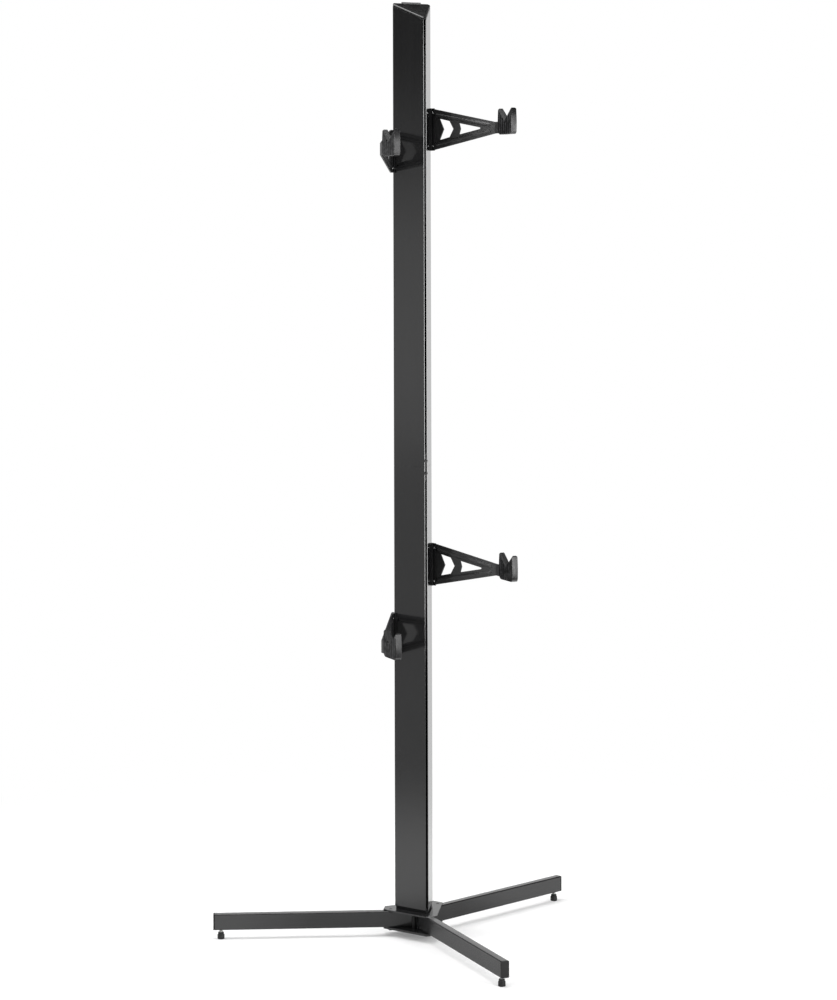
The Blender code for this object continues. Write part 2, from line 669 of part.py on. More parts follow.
def build_arm(rack, name, height):
    """One arm with its saddle, slot nut, clamp bolts and cradle, on an empty at its height."""
    hand = name.split("_")[1]
    side = 1 if hand == "right" else -1
    carriage = empty(name + "_height", (0, 0, height), rack)
    turn = math.radians(ARM_TURN[hand])

    bm = extruded(arm_outlines(), ARM_INNER, ARM_OUTER)
    bmesh.ops.transform(bm, matrix=Matrix.Rotation(math.radians(90), 4, "X"), verts=bm.verts)
    bmesh.ops.scale(bm, vec=(1, -side, 1), verts=bm.verts)
    whole = bm.verts[:] + bm.edges[:] + bm.faces[:]
    bmesh.ops.bisect_plane(bm, geom=whole, dist=MERGE, plane_co=(ARM_BEND, 0, 0), plane_no=(1, 0, 0))
    tongue = [vert for vert in bm.verts if vert.co.x > ARM_BEND + MERGE]
    bend = Matrix.Rotation(math.radians(-30 * side), 3, "Z")
    hinge = (ARM_BEND, side * ARM_INNER, 0)
    bmesh.ops.rotate(bm, cent=hinge, matrix=bend, verts=tongue)
    arm = finish(bm, name + "_arm", coated(), carriage)
    arm.rotation_euler.z = turn
    bolt_hole = CLAMP_BOLT_DIAMETER / 2 + GAP
    levels = {"top": CLAMP_BOLT_OFFSET, "bottom": -CLAMP_BOLT_OFFSET}
    span = (side * (ARM_INNER - 0.002), side * (ARM_OUTER + 0.002))
    drill(arm, [(bolt_hole, (0, span[0], level), (0, span[1], level)) for level in levels.values()])

    half = saddle_outline()
    outline = half + [Vector((-point.x, point.y)) for point in reversed(half)]
    bm = extruded([[(point.x, side * point.y) for point in outline]], -ARM_ROOT_HEIGHT / 2, ARM_ROOT_HEIGHT / 2)
    saddle = finish(bm, name + "_saddle", moulded(), carriage)
    saddle.rotation_euler.z = turn
    span = (side * (CORNER_RADIUS - 0.002), side * (SADDLE_FACE + 0.002))
    drill(saddle, [(bolt_hole, (0, span[0], level), (0, span[1], level)) for level in levels.values()])

    slot_nut = finish(slot_bar(NUT_BAR_LENGTH), name + "_slot_nut", steel(), carriage)
    slot_nut.rotation_euler.z = math.radians(CORNERS[hand])
    drill(slot_nut, [
        (bolt_hole, (SLOT_FLOOR - 0.002, 0, level), (CORNER_RADIUS, 0, level)) for level in levels.values()
    ])

    outward = Vector((*polar(1, CORNERS[hand]), 0))
    length = ARM_OUTER + GAP - SLOT_FLOOR - 3 * GAP
    for end, level in levels.items():
        clamp = bolt(name + "_clamp_bolt_" + end, CLAMP_BOLT_DIAMETER, length, 0.008, 0.0026, oxide(), carriage)
        place(clamp, outward * (ARM_OUTER + GAP) + Vector((0, 0, level)), outward)
    build_cradle(carriage, name, side, arm)


def flared_vee(half):
    """What the V takes from a cradle: a triangle drawn out along Z, wider past both side faces."""
    over = 0.002
    low = CRADLE_HEIGHT - CRADLE_V_DEPTH
    rise = 2 * CRADLE_V_DEPTH
    run = 2 * CRADLE_V_HALF
    end = CRADLE_WIDTH / 2 + over
    core = CRADLE_WIDTH / 2 - CRADLE_FLARE
    bm = extruded([[(half, low), (half + run, low + rise), (half - run, low + rise)]], -end, end)
    for side in (-1, 1):
        whole = bm.verts[:] + bm.edges[:] + bm.faces[:]
        bmesh.ops.bisect_plane(bm, geom=whole, dist=MERGE, plane_co=(0, 0, side * core), plane_no=(0, 0, 1))
    for vert in bm.verts:
        if abs(vert.co.z) > core + MERGE:
            spread = abs(vert.co.z) - core
            vert.co.y -= spread * math.hypot(run, rise) / run
    return bm


def build_cradle(carriage, name, side, arm):
    bend = polar(ARM_INNER, CORNERS["right"]) + polar(ARM_BEND, ARM_TURN["right"])
    middle = side * (bend.x + ARM_THICKNESS / 2)
    back = bend.y - ARM_NECK
    # Profiles are drawn with x to the front and y up, from the cradle's lower back corner.
    stand = Matrix.Translation((middle, back, -CRADLE_BELOW)) @ Matrix(
        ((0, 0, -1, 0), (-1, 0, 0, 0), (0, 1, 0, 0), (0, 0, 0, 1))
    )
    half = CRADLE_DEPTH / 2
    prong = half - CRADLE_V_HALF
    tip = CRADLE_HEIGHT - CRADLE_TIP
    outline = arc((CRADLE_BACK_RADIUS, CRADLE_BACK_RADIUS), CRADLE_BACK_RADIUS, 180, 270, 4)
    outline += arc(
        (CRADLE_DEPTH - CRADLE_FRONT_RADIUS, CRADLE_FRONT_RADIUS), CRADLE_FRONT_RADIUS, 270, 360, 3
    )
    outline += [
        (CRADLE_DEPTH, tip),
        (CRADLE_DEPTH - prong / 2, CRADLE_HEIGHT),
        (prong / 2 + CRADLE_LEAN / 2, CRADLE_HEIGHT),
        (CRADLE_LEAN, tip),
        (0, CRADLE_LEAN_HEIGHT),
    ]
    bm = extruded([outline], -CRADLE_WIDTH / 2, CRADLE_WIDTH / 2)
    bmesh.ops.transform(bm, matrix=stand, verts=bm.verts)
    cradle = finish(bm, name + "_cradle", moulded(), carriage)
    bevel(cradle, CRADLE_BEVEL)
    vee = flared_vee(half)
    bmesh.ops.transform(vee, matrix=stand, verts=vee.verts)
    combine(cradle, vee, "DIFFERENCE", name + "_vee")
    slot = bmesh.new()
    thick = ARM_THICKNESS / 2 + GAP
    end = back - TONGUE_LENGTH - GAP
    add_box(slot, (middle - thick, end, -ARM_TIP_HEIGHT / 2 - GAP), (middle + thick, back + 0.002, ARM_TIP_HEIGHT / 2 + GAP))
    combine(cradle, slot, "DIFFERENCE", name + "_tongue_slot")
    ear = [
        (TONGUE_EAR_START - GAP, ARM_TIP_HEIGHT / 2 - GAP),
        (TONGUE_EAR_END + GAP, ARM_TIP_HEIGHT / 2 - GAP),
        (TONGUE_EAR_END + GAP, TONGUE_EAR_SLOPE + GAP),
        (TONGUE_EAR_FLAT + GAP, TONGUE_EAR_TOP + GAP),
        (TONGUE_EAR_START - GAP, TONGUE_EAR_TOP + GAP),
    ]
    pocket = extruded([[(out, up + CRADLE_BELOW) for out, up in ear]], -thick, thick)
    bmesh.ops.transform(pocket, matrix=stand, verts=pocket.verts)
    combine(cradle, pocket, "DIFFERENCE", name + "_ear_pocket")

    # The cross screw goes in from the side that faces -X on every arm.
    level = CRADLE_SCREW_HEIGHT - CRADLE_BELOW
    across = back - CRADLE_SCREW_BACK
    reach = CRADLE_WIDTH / 2 + GAP
    hole = [(CRADLE_SCREW_DIAMETER / 2 + GAP, (middle - 0.02, across, level), (middle + 0.02, across, level))]
    drill(cradle, hole)
    bm = bmesh.new()
    add_rod(bm, hole[0][0], hole[0][1], hole[0][2])
    bmesh.ops.rotate(bm, cent=(0, 0, 0), matrix=Matrix.Rotation(-arm.rotation_euler.z, 3, "Z"), verts=bm.verts)
    combine(arm, bm, "DIFFERENCE", name + "_screw_hole")
    length = CRADLE_WIDTH + GAP
    head = CRADLE_SCREW_HEAD
    screw = bolt(name + "_cradle_screw", CRADLE_SCREW_DIAMETER, length, head, 0.0018, oxide(), carriage)
    place(screw, (middle - reach, across, level), (-1, 0, 0))


def main():
    clear_scene()
    rack = empty("rack_axis", (0, AXIS_Y, 0))
    build_column(rack)
    build_cap(rack)
    build_column_foot(rack)
    build_plates(rack)
    for name, turn in LEGS.items():
        build_leg(rack, name, turn)
    for name, height in ARM_HEIGHTS.items():
        build_arm(rack, name, height)


main()
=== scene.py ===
"""Looks for a free-standing storage column with four cradle arms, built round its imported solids.

Every piece stands in the row's own frame, in metres: the column's axis is at (0, AXIS_Y), the floor at z 0
and the arms reach towards -Y. The file is laid out as an add-on, with one operator for each group of pieces.
"""

import math
from collections import namedtuple

import bmesh
import bpy
from mathutils import Matrix, Vector


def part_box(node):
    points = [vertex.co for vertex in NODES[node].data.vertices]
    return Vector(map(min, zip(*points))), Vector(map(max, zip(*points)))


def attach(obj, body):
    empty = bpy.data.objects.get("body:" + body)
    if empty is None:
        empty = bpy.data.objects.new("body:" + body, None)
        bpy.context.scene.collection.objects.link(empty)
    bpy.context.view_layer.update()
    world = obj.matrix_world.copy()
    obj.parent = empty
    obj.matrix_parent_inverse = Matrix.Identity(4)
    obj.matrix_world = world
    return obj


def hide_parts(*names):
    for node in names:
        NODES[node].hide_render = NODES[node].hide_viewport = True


bl_info = {
    "name": "Storage column looks",
    "version": (1, 0, 0),
    "blender": (4, 5, 0),
    "location": "3D View > Sidebar > Column",
    "description": "Builds the visible pieces of a storage column with cradle arms round its packed solids",
    "category": "Object",
}

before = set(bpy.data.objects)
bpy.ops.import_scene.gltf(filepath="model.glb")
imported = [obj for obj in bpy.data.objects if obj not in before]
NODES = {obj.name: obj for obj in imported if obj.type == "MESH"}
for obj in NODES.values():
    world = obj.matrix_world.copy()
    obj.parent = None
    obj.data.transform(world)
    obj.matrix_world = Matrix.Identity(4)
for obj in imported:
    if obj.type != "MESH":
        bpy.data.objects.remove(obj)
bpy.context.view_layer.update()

# Sizes that the solids were made from, in metres and degrees
AXIS_Y = 0.147727
COLUMN_SIDE = 0.100
COLUMN_FLAT = 0.0071
CORNER_RADIUS = COLUMN_SIDE / math.sqrt(3) - COLUMN_FLAT / 2 * math.sqrt(3)
GAP = 0.0003
SADDLE_WALL = 0.0040
SADDLE_FACE = CORNER_RADIUS + GAP + SADDLE_WALL
ARM_INNER = SADDLE_FACE + GAP
ARM_WALL = 0.0030
ARM_OUTER = ARM_INNER + ARM_WALL
ARM_HEIGHTS = {"upper_right": 1.8274, "upper_left": 1.777, "lower_right": 0.8355, "lower_left": 0.681}
CORNERS = {"right": 30.0, "left": 150.0}
LEGS = {"front": 0.0, "right": 110.0, "left": -110.0}
LEG_REACH = 0.4626
FOOT_INSET = 0.0172
CAP_SLOPE = 25.0
JOINT_HEIGHT = 1.065
JOINT_SCREW_RISE = 0.014

# Flat pattern of an arm, in millimetres from the column's corner, and the angle of its fold in degrees
ROOT_BACK = 15.0
ROOT_HALF = 48.25
TAPER_START = 2.0
TIP_HALF = 13.0
FOLD_AT = 179.7
FOLD_ANGLE = 30.0
NECK = 25.1
TONGUE = 55.0
CHEVRON = [(25.3, -24.25), (53.5, -18.2), (64.2, 0), (53.5, 18.2), (25.3, 24.25), (36.8, 0)]
ARROW = [(80.0, -12.8), (138.5, -1.5), (138.5, 1.5), (80.0, 12.8), (84.0, 0)]
EAR = [(31.0, 13.0), (31.0, 18.3), (23.0, 24.5), (18.0, 24.5), (18.0, 13.0)]

# Profile of a cradle, in millimetres from its lower back corner
CRADLE_WIDTH = 14.0
CRADLE_DEPTH = 70.0
CRADLE_HEIGHT = 59.0
V_HALF = 32.0
V_DEPTH = 25.0
FLARE = 3.2
LEAN = 2.5
LEAN_HEIGHT = 36.0
BACK_RADIUS = 13.0
FRONT_RADIUS = 7.0
LEAN_RADIUS = 7.0
BACK_TIP = 2.6
FRONT_TIP = 3.6
BOW = 2.6
BOW_MIDDLE = 24.0

MM = 0.001
MERGE = 0.000002


def arm_side(name):
    """1 for an arm on the right corner, -1 for one on the left."""
    return 1 if name.endswith("right") else -1


# Shaders


def blank_material(name, roughness, metallic=0.0, ior=1.5, specular=0.5):
    """A material with one Principled shader, whose constant values are set on its own sockets."""
    made = bpy.data.materials.new(name)
    made.use_nodes = True
    shader = made.node_tree.nodes["Principled BSDF"]
    shader.inputs["Roughness"].default_value = roughness
    shader.inputs["Metallic"].default_value = metallic
    shader.inputs["IOR"].default_value = ior
    shader.inputs["Specular IOR Level"].default_value = specular
    return made, shader


def dressed(made, shader, colour, gloss, bump):
    """Links a finish's colour, roughness and bump to its shader."""
    for name, source in (("Base Color", colour), ("Roughness", gloss), ("Normal", bump)):
        made.node_tree.links.new(source, shader.inputs[name])
    return made


def stretched(made, stretch):
    """The object's own coordinates; stretch multiplies a pattern's frequency along each axis."""
    nodes = made.node_tree.nodes
    place = nodes.new("ShaderNodeTexCoord")
    turn = nodes.new("ShaderNodeMapping")
    turn.inputs["Scale"].default_value = stretch
    made.node_tree.links.new(place.outputs["Object"], turn.inputs["Vector"])
    return turn.outputs["Vector"]


def grain(made, scale, detail=3.0, stretch=(1, 1, 1), roughness=0.55):
    """Noise on the object's own coordinates."""
    noise = made.node_tree.nodes.new("ShaderNodeTexNoise")
    noise.inputs["Scale"].default_value = scale
    noise.inputs["Detail"].default_value = detail
    noise.inputs["Roughness"].default_value = roughness
    made.node_tree.links.new(stretched(made, stretch), noise.inputs["Vector"])
    return noise.outputs["Fac"]


def ranged(tree, source, start, end, low, high, kind="LINEAR"):
    """Maps start..end of a value to low..high."""
    node = tree.nodes.new("ShaderNodeMapRange")
    node.interpolation_type = kind
    for name, value in (("From Min", start), ("From Max", end), ("To Min", low), ("To Max", high)):
        node.inputs[name].default_value = value
    tree.links.new(source, node.inputs["Value"])
    return node.outputs["Result"]


def spread(made, source, low, high):
    """Maps the middle of a noise to a range of numbers."""
    return ranged(made.node_tree, source, 0.35, 0.65, low, high)


def tinted(made, source, dark, light, start=0.3, end=0.7):
    """A colour ramp between two colours."""
    node = made.node_tree.nodes.new("ShaderNodeValToRGB")
    node.color_ramp.elements[0].position = start
    node.color_ramp.elements[0].color = (*dark, 1)
    node.color_ramp.elements[1].position = end
    node.color_ramp.elements[1].color = (*light, 1)
    made.node_tree.links.new(source, node.inputs["Fac"])
    return node.outputs["Color"]


def relief(made, height, strength, distance, under=None):
    """A bump of a height map, laid over another one."""
    node = made.node_tree.nodes.new("ShaderNodeBump")
    node.inputs["Strength"].default_value = strength
    node.inputs["Distance"].default_value = distance
    made.node_tree.links.new(height, node.inputs["Height"])
    if under:
        made.node_tree.links.new(under, node.inputs["Normal"])
    return node.outputs["Normal"]


def shades(colour, *factors):
    """Darker and lighter shades of a colour."""
    return [tuple(channel * factor for channel in colour[:3]) for factor in factors]


def column_black(settings):
    """Black anodised extrusion: a soft mirror with fine lines along its length."""
    made, shader = blank_material("column_black", settings.roughness, 0.0, 1.62)
    lines = grain(made, 60.0, 4.0, (24.0, 24.0, 0.06))
    colour = tinted(made, grain(made, 5.0), *shades(settings.colour, 0.85, 1.2))
    gloss = spread(made, lines, settings.roughness * 0.86, settings.roughness * 1.16)
    under = relief(made, lines, 0.035, 0.0003)
    return dressed(made, shader, colour, gloss, relief(made, grain(made, 2600.0, 2.0), 0.05, 0.00002, under))


def powder(name, tints, roughness, low, high, ior, peel_strength):
    """Black powder coat with the slight orange peel that it cures to; low and high scale its roughness."""
    made, shader = blank_material(name, roughness, 0.0, ior)
    cloud = grain(made, 14.0)
    gloss = spread(made, cloud, roughness * low, roughness * high)
    under = relief(made, grain(made, 520.0, 2.0, roughness=0.4), peel_strength, 0.0003)
    bump = relief(made, grain(made, 3200.0, 2.0), 0.10, 0.00003, under)
    return dressed(made, shader, tinted(made, cloud, *tints), gloss, bump)


def powder_coat(settings):
    """The coat of the plates and legs."""
    tints = shades(settings.colour, 0.85, 1.25)
    return powder("powder_coat", tints, settings.roughness, 0.88, 1.14, 1.60, 0.16)


def arm_coat(settings):
    """The arms' coat: a little greyer and more matt than the base's."""
    tints = shades(settings.arm_colour, 0.85, 1.2)
    return powder("arm_coat", tints, settings.arm_roughness, 0.9, 1.1, 1.65, 0.14)


def grained(name, tints, cloud, fine, rough, bump, rough_grain=False, metallic=0.0, ior=1.5, specular=0.5):
    """A finish with clouds of two tints and a fine grain in its surface.

    cloud and fine are what grain takes. rough is the range of the roughness, which follows the clouds, or the
    fine grain with rough_grain. bump is the strength and depth of the fine grain.
    """
    made, shader = blank_material(name, sum(rough) / 2, metallic, ior, specular)
    clouds = grain(made, *cloud)
    grains = grain(made, *fine)
    gloss = spread(made, grains if rough_grain else clouds, *rough)
    return dressed(made, shader, tinted(made, clouds, *tints), gloss, relief(made, grains, *bump))


def cap_black(settings):
    """The cap's plastic, smoother than the cradles'."""
    tints = shades(settings.plastic, 0.5, 0.8)
    return grained("cap_black", tints, (40.0,), (1500.0,), (0.20, 0.28), (0.12, 0.0001))


def moulded_black(settings):
    """Moulded plastic with a fine eroded grain."""
    tints = shades(settings.plastic, 0.8, 1.25)
    pits = (1500.0, 3.0, (1, 1, 1), 0.6)
    return grained("moulded_black", tints, (30.0,), pits, (0.38, 0.50), (0.30, 0.0002), True, specular=0.30)


def cradle_flank(settings):
    """The cradles' sides: upright ribbing and an eroded grain that take most of the shine away, with a
    painted sheen in its place: lighter colour along the ribs and streaks.
    """
    made, shader = blank_material("cradle_flank", 0.5, specular=0.09)
    nodes = made.node_tree.nodes
    links = made.node_tree.links
    rows = nodes.new("ShaderNodeTexWave")
    rows.wave_type = "BANDS"
    rows.bands_direction = "Y"
    rows.inputs["Scale"].default_value = settings.rib_pitch_scale
    rows.inputs["Distortion"].default_value = 1.6
    rows.inputs["Detail"].default_value = 3.0
    rows.inputs["Detail Scale"].default_value = 3.0
    links.new(stretched(made, (0.0, 1.0, 0.12)), rows.inputs["Vector"])
    streaks = grain(made, 260.0, 4.0, (1.0, 0.42, 0.42), 0.8)
    mixed = nodes.new("ShaderNodeMath")
    mixed.operation = "MULTIPLY_ADD"
    mixed.inputs[1].default_value = 0.26
    links.new(rows.outputs["Fac"], mixed.inputs[0])
    links.new(streaks, mixed.inputs[2])
    ribs = mixed.outputs["Value"]
    # Painted sheen: rib crests and streaks are coloured up to fifteen times lighter than the troughs.
    colour = tinted(made, ribs, *shades(settings.plastic, 0.5, 7.5), 0.58, 0.90)
    return dressed(made, shader, colour, spread(made, streaks, 0.60, 0.40), relief(made, ribs, 0.6, 0.0008))


def cradle_rim_painted_highlight(settings):
    """The cradles' rounded edges, polished by the tool, and coloured up to twice as light as the plastic: a
    painted highlight along the edges.
    """
    # Painted highlight: the rims' tints are lighter than the plastic's.
    tints = shades(settings.plastic, 1.0, 2.0)
    cloud = (90.0, 4.0, (1.0, 1.0, 0.5))
    return grained("cradle_rim_painted_highlight", tints, cloud, (1500.0,), (0.16, 0.24), (0.10, 0.0001), ior=1.8)


def cradle_front_painted_light(settings):
    """The cradles' plain front and back, coloured lighter than the plastic as painted light."""
    # Painted light: these faces are coloured up to three times lighter than the plastic.
    tints = shades(settings.plastic, 1.0, 3.0)
    cloud = (90.0, 4.0, (1.0, 1.0, 0.5))
    return grained("cradle_front_painted_light", tints, cloud, (1500.0,), (0.20, 0.32), (0.12, 0.0001), specular=0.22)


def soft_rubber(settings):
    """Rubber of the feet and the lining of the cradles' V."""
    tints = shades(settings.plastic, 0.8, 1.5)
    return grained("soft_rubber", tints, (60.0, 4.0), (1800.0,), (0.56, 0.72), (0.25, 0.0001))


def zinc_plate(settings):
    """Bright zinc plate with a faint passivated tint."""
    tints = (0.50, 0.51, 0.54), (0.66, 0.65, 0.61)
    return grained("zinc_plate", tints, (90.0, 4.0), (900.0,), (0.24, 0.38), (0.12, 0.0001), True, 1.0)


def bright_zinc(settings):
    """New zinc on the small screws at the arms' roots."""
    tints = (0.72, 0.73, 0.75), (0.86, 0.86, 0.84)
    return grained("bright_zinc", tints, (300.0,), (300.0,), (0.20, 0.30), (0.08, 0.0001), False, 1.0)


def collar_black_painted_shade(settings):
    """The recessed collar at the column's foot: dull, unpolished plastic, coloured darker than the other
    mouldings as painted shade in its recess.
    """
    # Painted shade: the collar's tints are a third to a half of the plastic's colour.
    tints = shades(settings.plastic, 0.3, 0.5)
    return grained("collar_black_painted_shade", tints, (60.0,), (1500.0,), (0.70, 0.85), (0.3, 0.0002), True, ior=1.35)


def black_oxide(settings):
    """Oiled black oxide on steel, a little bare where it is handled."""
    tints = (0.003, 0.003, 0.0035), (0.009, 0.009, 0.0085)
    bump = (0.15, 0.0001)
    return grained("black_oxide", tints, (160.0, 4.0), (1400.0,), (0.38, 0.52), bump, True, ior=1.45)


def shared(maker, settings):
    """A finish, named like the function that makes it, which is made once and shared by its pieces."""
    return bpy.data.materials.get(maker.__name__) or maker(settings)


def finish_of(context, slot):
    """The finish that stands for one of the record's material slots."""
    plastic = context.scene.rack_plastic
    table = {
        "anodised": (column_black, context.scene.rack_column),
        "coated": (powder_coat, context.scene.rack_coat),
        "moulded": (moulded_black, plastic),
        "rubber": (soft_rubber, plastic),
        "zinc_steel": (zinc_plate, plastic),
        "oxide_steel": (black_oxide, plastic),
    }
    return shared(*table[slot])


# Shapes


def merged_copy(node):
    """A copy of a CAD node with its loose triangles joined into flat faces."""
    bm = bmesh.new()
    bm.from_mesh(NODES[node].data)
    bmesh.ops.remove_doubles(bm, verts=bm.verts, dist=MERGE)
    bmesh.ops.dissolve_limit(
        bm, angle_limit=math.radians(0.8), use_dissolve_boundaries=False, verts=bm.verts, edges=bm.edges
    )
    return bm


def sharp_edges(bm, degrees):
    limit = math.radians(degrees)
    return [edge for edge in bm.edges if len(edge.link_faces) == 2 and edge.calc_face_angle(0) > limit]


def round_edges(bm, edges, width, segments=2, affect="EDGES"):
    bmesh.ops.bevel(
        bm, geom=edges, offset=width, offset_type="OFFSET", segments=segments, profile=0.5,
        affect=affect, clamp_overlap=True, material=-1,
    )


def extruded(bm, faces, keep=False):
    """Extrudes faces and returns the vertices that this makes."""
    grown = bmesh.ops.extrude_face_region(bm, geom=faces, use_keep_orig=keep)
    return [item for item in grown["geom"] if isinstance(item, bmesh.types.BMVert)]


def turned(profile, segments=32):
    """A closed solid of revolution round Z. The profile starts and ends off the axis, with flat ends."""
    bm = bmesh.new()
    ring = [bm.verts.new((radius, 0, height)) for radius, height in profile]
    line = [bm.edges.new(pair) for pair in zip(ring, ring[1:])]
    bmesh.ops.spin(
        bm, geom=ring + line, cent=(0, 0, 0), axis=(0, 0, 1), angle=math.tau, steps=segments, use_merge=True
    )
    bmesh.ops.remove_doubles(bm, verts=bm.verts, dist=MERGE)
    bmesh.ops.holes_fill(bm, edges=bm.edges, sides=0)
    bmesh.ops.recalc_face_normals(bm, faces=bm.faces)
    return bm


def hexagon(angle, size):
    """Distance from the middle to a hexagon's edge; size is half its width across flats."""
    return size / math.cos((angle + math.pi / 6) % (math.pi / 3) - math.pi / 6)


def cross(angle, size):
    """Distance from the middle to the edge of a cross recess; size is the length of an arm."""
    folded = abs((angle + math.pi / 4) % (math.pi / 2) - math.pi / 4)
    width = size * 0.28
    if math.tan(folded) <= width / size:
        return size / math.cos(folded)
    return width / math.sin(folded)


# Kinds of screw, in metres: shank, head, height of the head, then its recess: outline, size and depth
Screw = namedtuple("Screw", "shank head height outline size depth")
CLAMP_SCREW = Screw(0.004, 0.008, 0.0026, hexagon, 0.00125, 0.0014)
CROSS_SCREW = Screw(0.003, 0.0042, 0.0018, cross, 0.0011, 0.0008)
SADDLE_SCREW = Screw(0.0020, 0.0040, 0.0011, cross, 0.0010, 0.0006)
JOINT_SCREW = Screw(0.004, 0.0075, 0.0022, hexagon, 0.00125, 0.0012)
FOOT_SCREW = Screw(0.005, 0.0095, 0.0028, hexagon, 0.0015, 0.0015)
TIE_SCREW = Screw(0.010, 0.013, 0.0045, hexagon, 0.0025, 0.0026)
LEG_SCREW = Screw(0.006, 0.0105, 0.0035, hexagon, 0.0020, 0.0020)


def screw(kind, length):
    """A screw of a kind, with its head above the origin and a shank of this length below it."""
    shank, height, size = kind.shank, kind.height, kind.size
    radius = kind.head / 2
    bm = turned([
        (shank * 0.36, -length),
        (shank * 0.5, -length + shank * 0.15),
        (shank * 0.5, 0),
        (radius - height * 0.08, 0),
        (radius, height * 0.08),
        (radius, height * 0.42),
        (radius * 0.95, height * 0.66),
        (radius * 0.83, height * 0.87),
        (radius * 0.68, height * 0.97),
        (size * 1.18, height),
    ], 48)
    top = max(bm.faces, key=lambda face: face.calc_center_median().z)
    for vert in top.verts:
        angle = math.atan2(vert.co.y, vert.co.x)
        reach = kind.outline(angle, size)
        vert.co.x = reach * math.cos(angle)
        vert.co.y = reach * math.sin(angle)
    bmesh.ops.translate(bm, vec=(0, 0, -kind.depth), verts=extruded(bm, [top]))
    if top.is_valid:
        bmesh.ops.delete(bm, geom=[top], context="FACES_ONLY")
    return bm


def aimed(location, direction):
    """The matrix that stands a shape, made along +Z, at a place and along a direction."""
    turn = Vector(direction).to_track_quat("Z", "Y").to_matrix().to_4x4()
    return Matrix.Translation(location) @ turn


def moved(bm, matrix):
    bmesh.ops.transform(bm, matrix=matrix, verts=bm.verts)
    return bm


def joined(parts):
    """Several bmeshes as one."""
    whole = bmesh.new()
    for part in parts:
        mesh = bpy.data.meshes.new("part")
        part.to_mesh(mesh)
        part.free()
        whole.from_mesh(mesh)
        bpy.data.meshes.remove(mesh)
    return whole


def make_piece(bm, name, looks, body, nodes=(), sharp=48.0, weighted=True):
    """Turns a bmesh in the row's frame into a piece that rides on a body and stands for CAD nodes."""
    bmesh.ops.recalc_face_normals(bm, faces=bm.faces)
    if bm.calc_volume(signed=True) < 0:
        bmesh.ops.reverse_faces(bm, faces=bm.faces)
    mesh = bpy.data.meshes.new(name)
    bm.to_mesh(mesh)
    bm.free()
    mesh.shade_smooth()
    mesh.set_sharp_from_angle(angle=math.radians(sharp))
    piece = bpy.data.objects.new(name, mesh)
    bpy.context.scene.collection.objects.link(piece)
    for look in looks:
        mesh.materials.append(look)
    if weighted:
        add_even_shading(piece)
    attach(piece, body)
    if nodes:
        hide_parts(*nodes)
    return piece


def add_even_shading(piece):
    """Keeps flat faces flat beside their rounded edges."""
    even = piece.modifiers.new("even_shading", "WEIGHTED_NORMAL")
    even.mode = "FACE_AREA"
    even.weight = 80
    even.keep_sharp = True


def soften_node(context, node, body, slot, width, segments=2, degrees=40.0):
    """Stands a copy of a CAD node, with its edges rounded, in the node's place."""
    bm = merged_copy(node)
    round_edges(bm, sharp_edges(bm, degrees), width, segments)
    return make_piece(bm, node + "_shell", [finish_of(context, slot)], body, [node])


def dress_node(context, node, slot):
    """Gives a CAD node that stays its finish."""
    piece = NODES[node]
    piece.data.materials.clear()
    piece.data.materials.append(finish_of(context, slot))


# Settings


class RackColumnSettings(bpy.types.PropertyGroup):
    """Finish and edges of the column."""

    colour: bpy.props.FloatVectorProperty(
        name="Colour", description="Colour of the anodised column", subtype="COLOR", size=3,
        min=0.0, max=1.0, default=(0.0060, 0.0060, 0.0063),
    )
    roughness: bpy.props.FloatProperty(
        name="Roughness", description="How blurred the column's reflections are",
        min=0.02, max=1.0, default=0.13,
    )
    edge_radius: bpy.props.FloatProperty(
        name="Edge radius", description="Rounding of the extrusion's edges", unit="LENGTH",
        min=0.0001, max=0.001, default=0.0002, precision=5,
    )


class RackCoatSettings(bpy.types.PropertyGroup):
    """Finish of the powder coated plates and tubes, and the pressing of the arms."""

    colour: bpy.props.FloatVectorProperty(
        name="Colour", description="Colour of the powder coat", subtype="COLOR", size=3,
        min=0.0, max=1.0, default=(0.0130, 0.0130, 0.0134),
    )
    roughness: bpy.props.FloatProperty(
        name="Roughness", description="How matt the powder coat is", min=0.05, max=1.0, default=0.18,
    )
    arm_colour: bpy.props.FloatVectorProperty(
        name="Arm colour", description="Colour of the arms' coat", subtype="COLOR", size=3,
        min=0.0, max=1.0, default=(0.0170, 0.0170, 0.0174),
    )
    arm_roughness: bpy.props.FloatProperty(
        name="Arm roughness", description="How matt the arms' coat is", min=0.05, max=1.0, default=0.48,
    )
    edge_radius: bpy.props.FloatProperty(
        name="Edge radius", description="Rounding of the plates' edges", unit="LENGTH",
        min=0.0001, max=0.0012, default=0.0006, precision=5,
    )
    bead_height: bpy.props.FloatProperty(
        name="Bead height", description="How far an arm's two beads stand off its inner face", unit="LENGTH",
        min=0.0, max=0.003, default=0.0026, precision=5,
    )
    bead_width: bpy.props.FloatProperty(
        name="Bead width", description="Width of a bead over its flanks", unit="LENGTH",
        min=0.004, max=0.012, default=0.0090, precision=5,
    )
    fold_radius: bpy.props.FloatProperty(
        name="Fold radius", description="Middle radius of the fold before the cradle", unit="LENGTH",
        min=0.003, max=0.020, default=0.012, precision=5,
    )


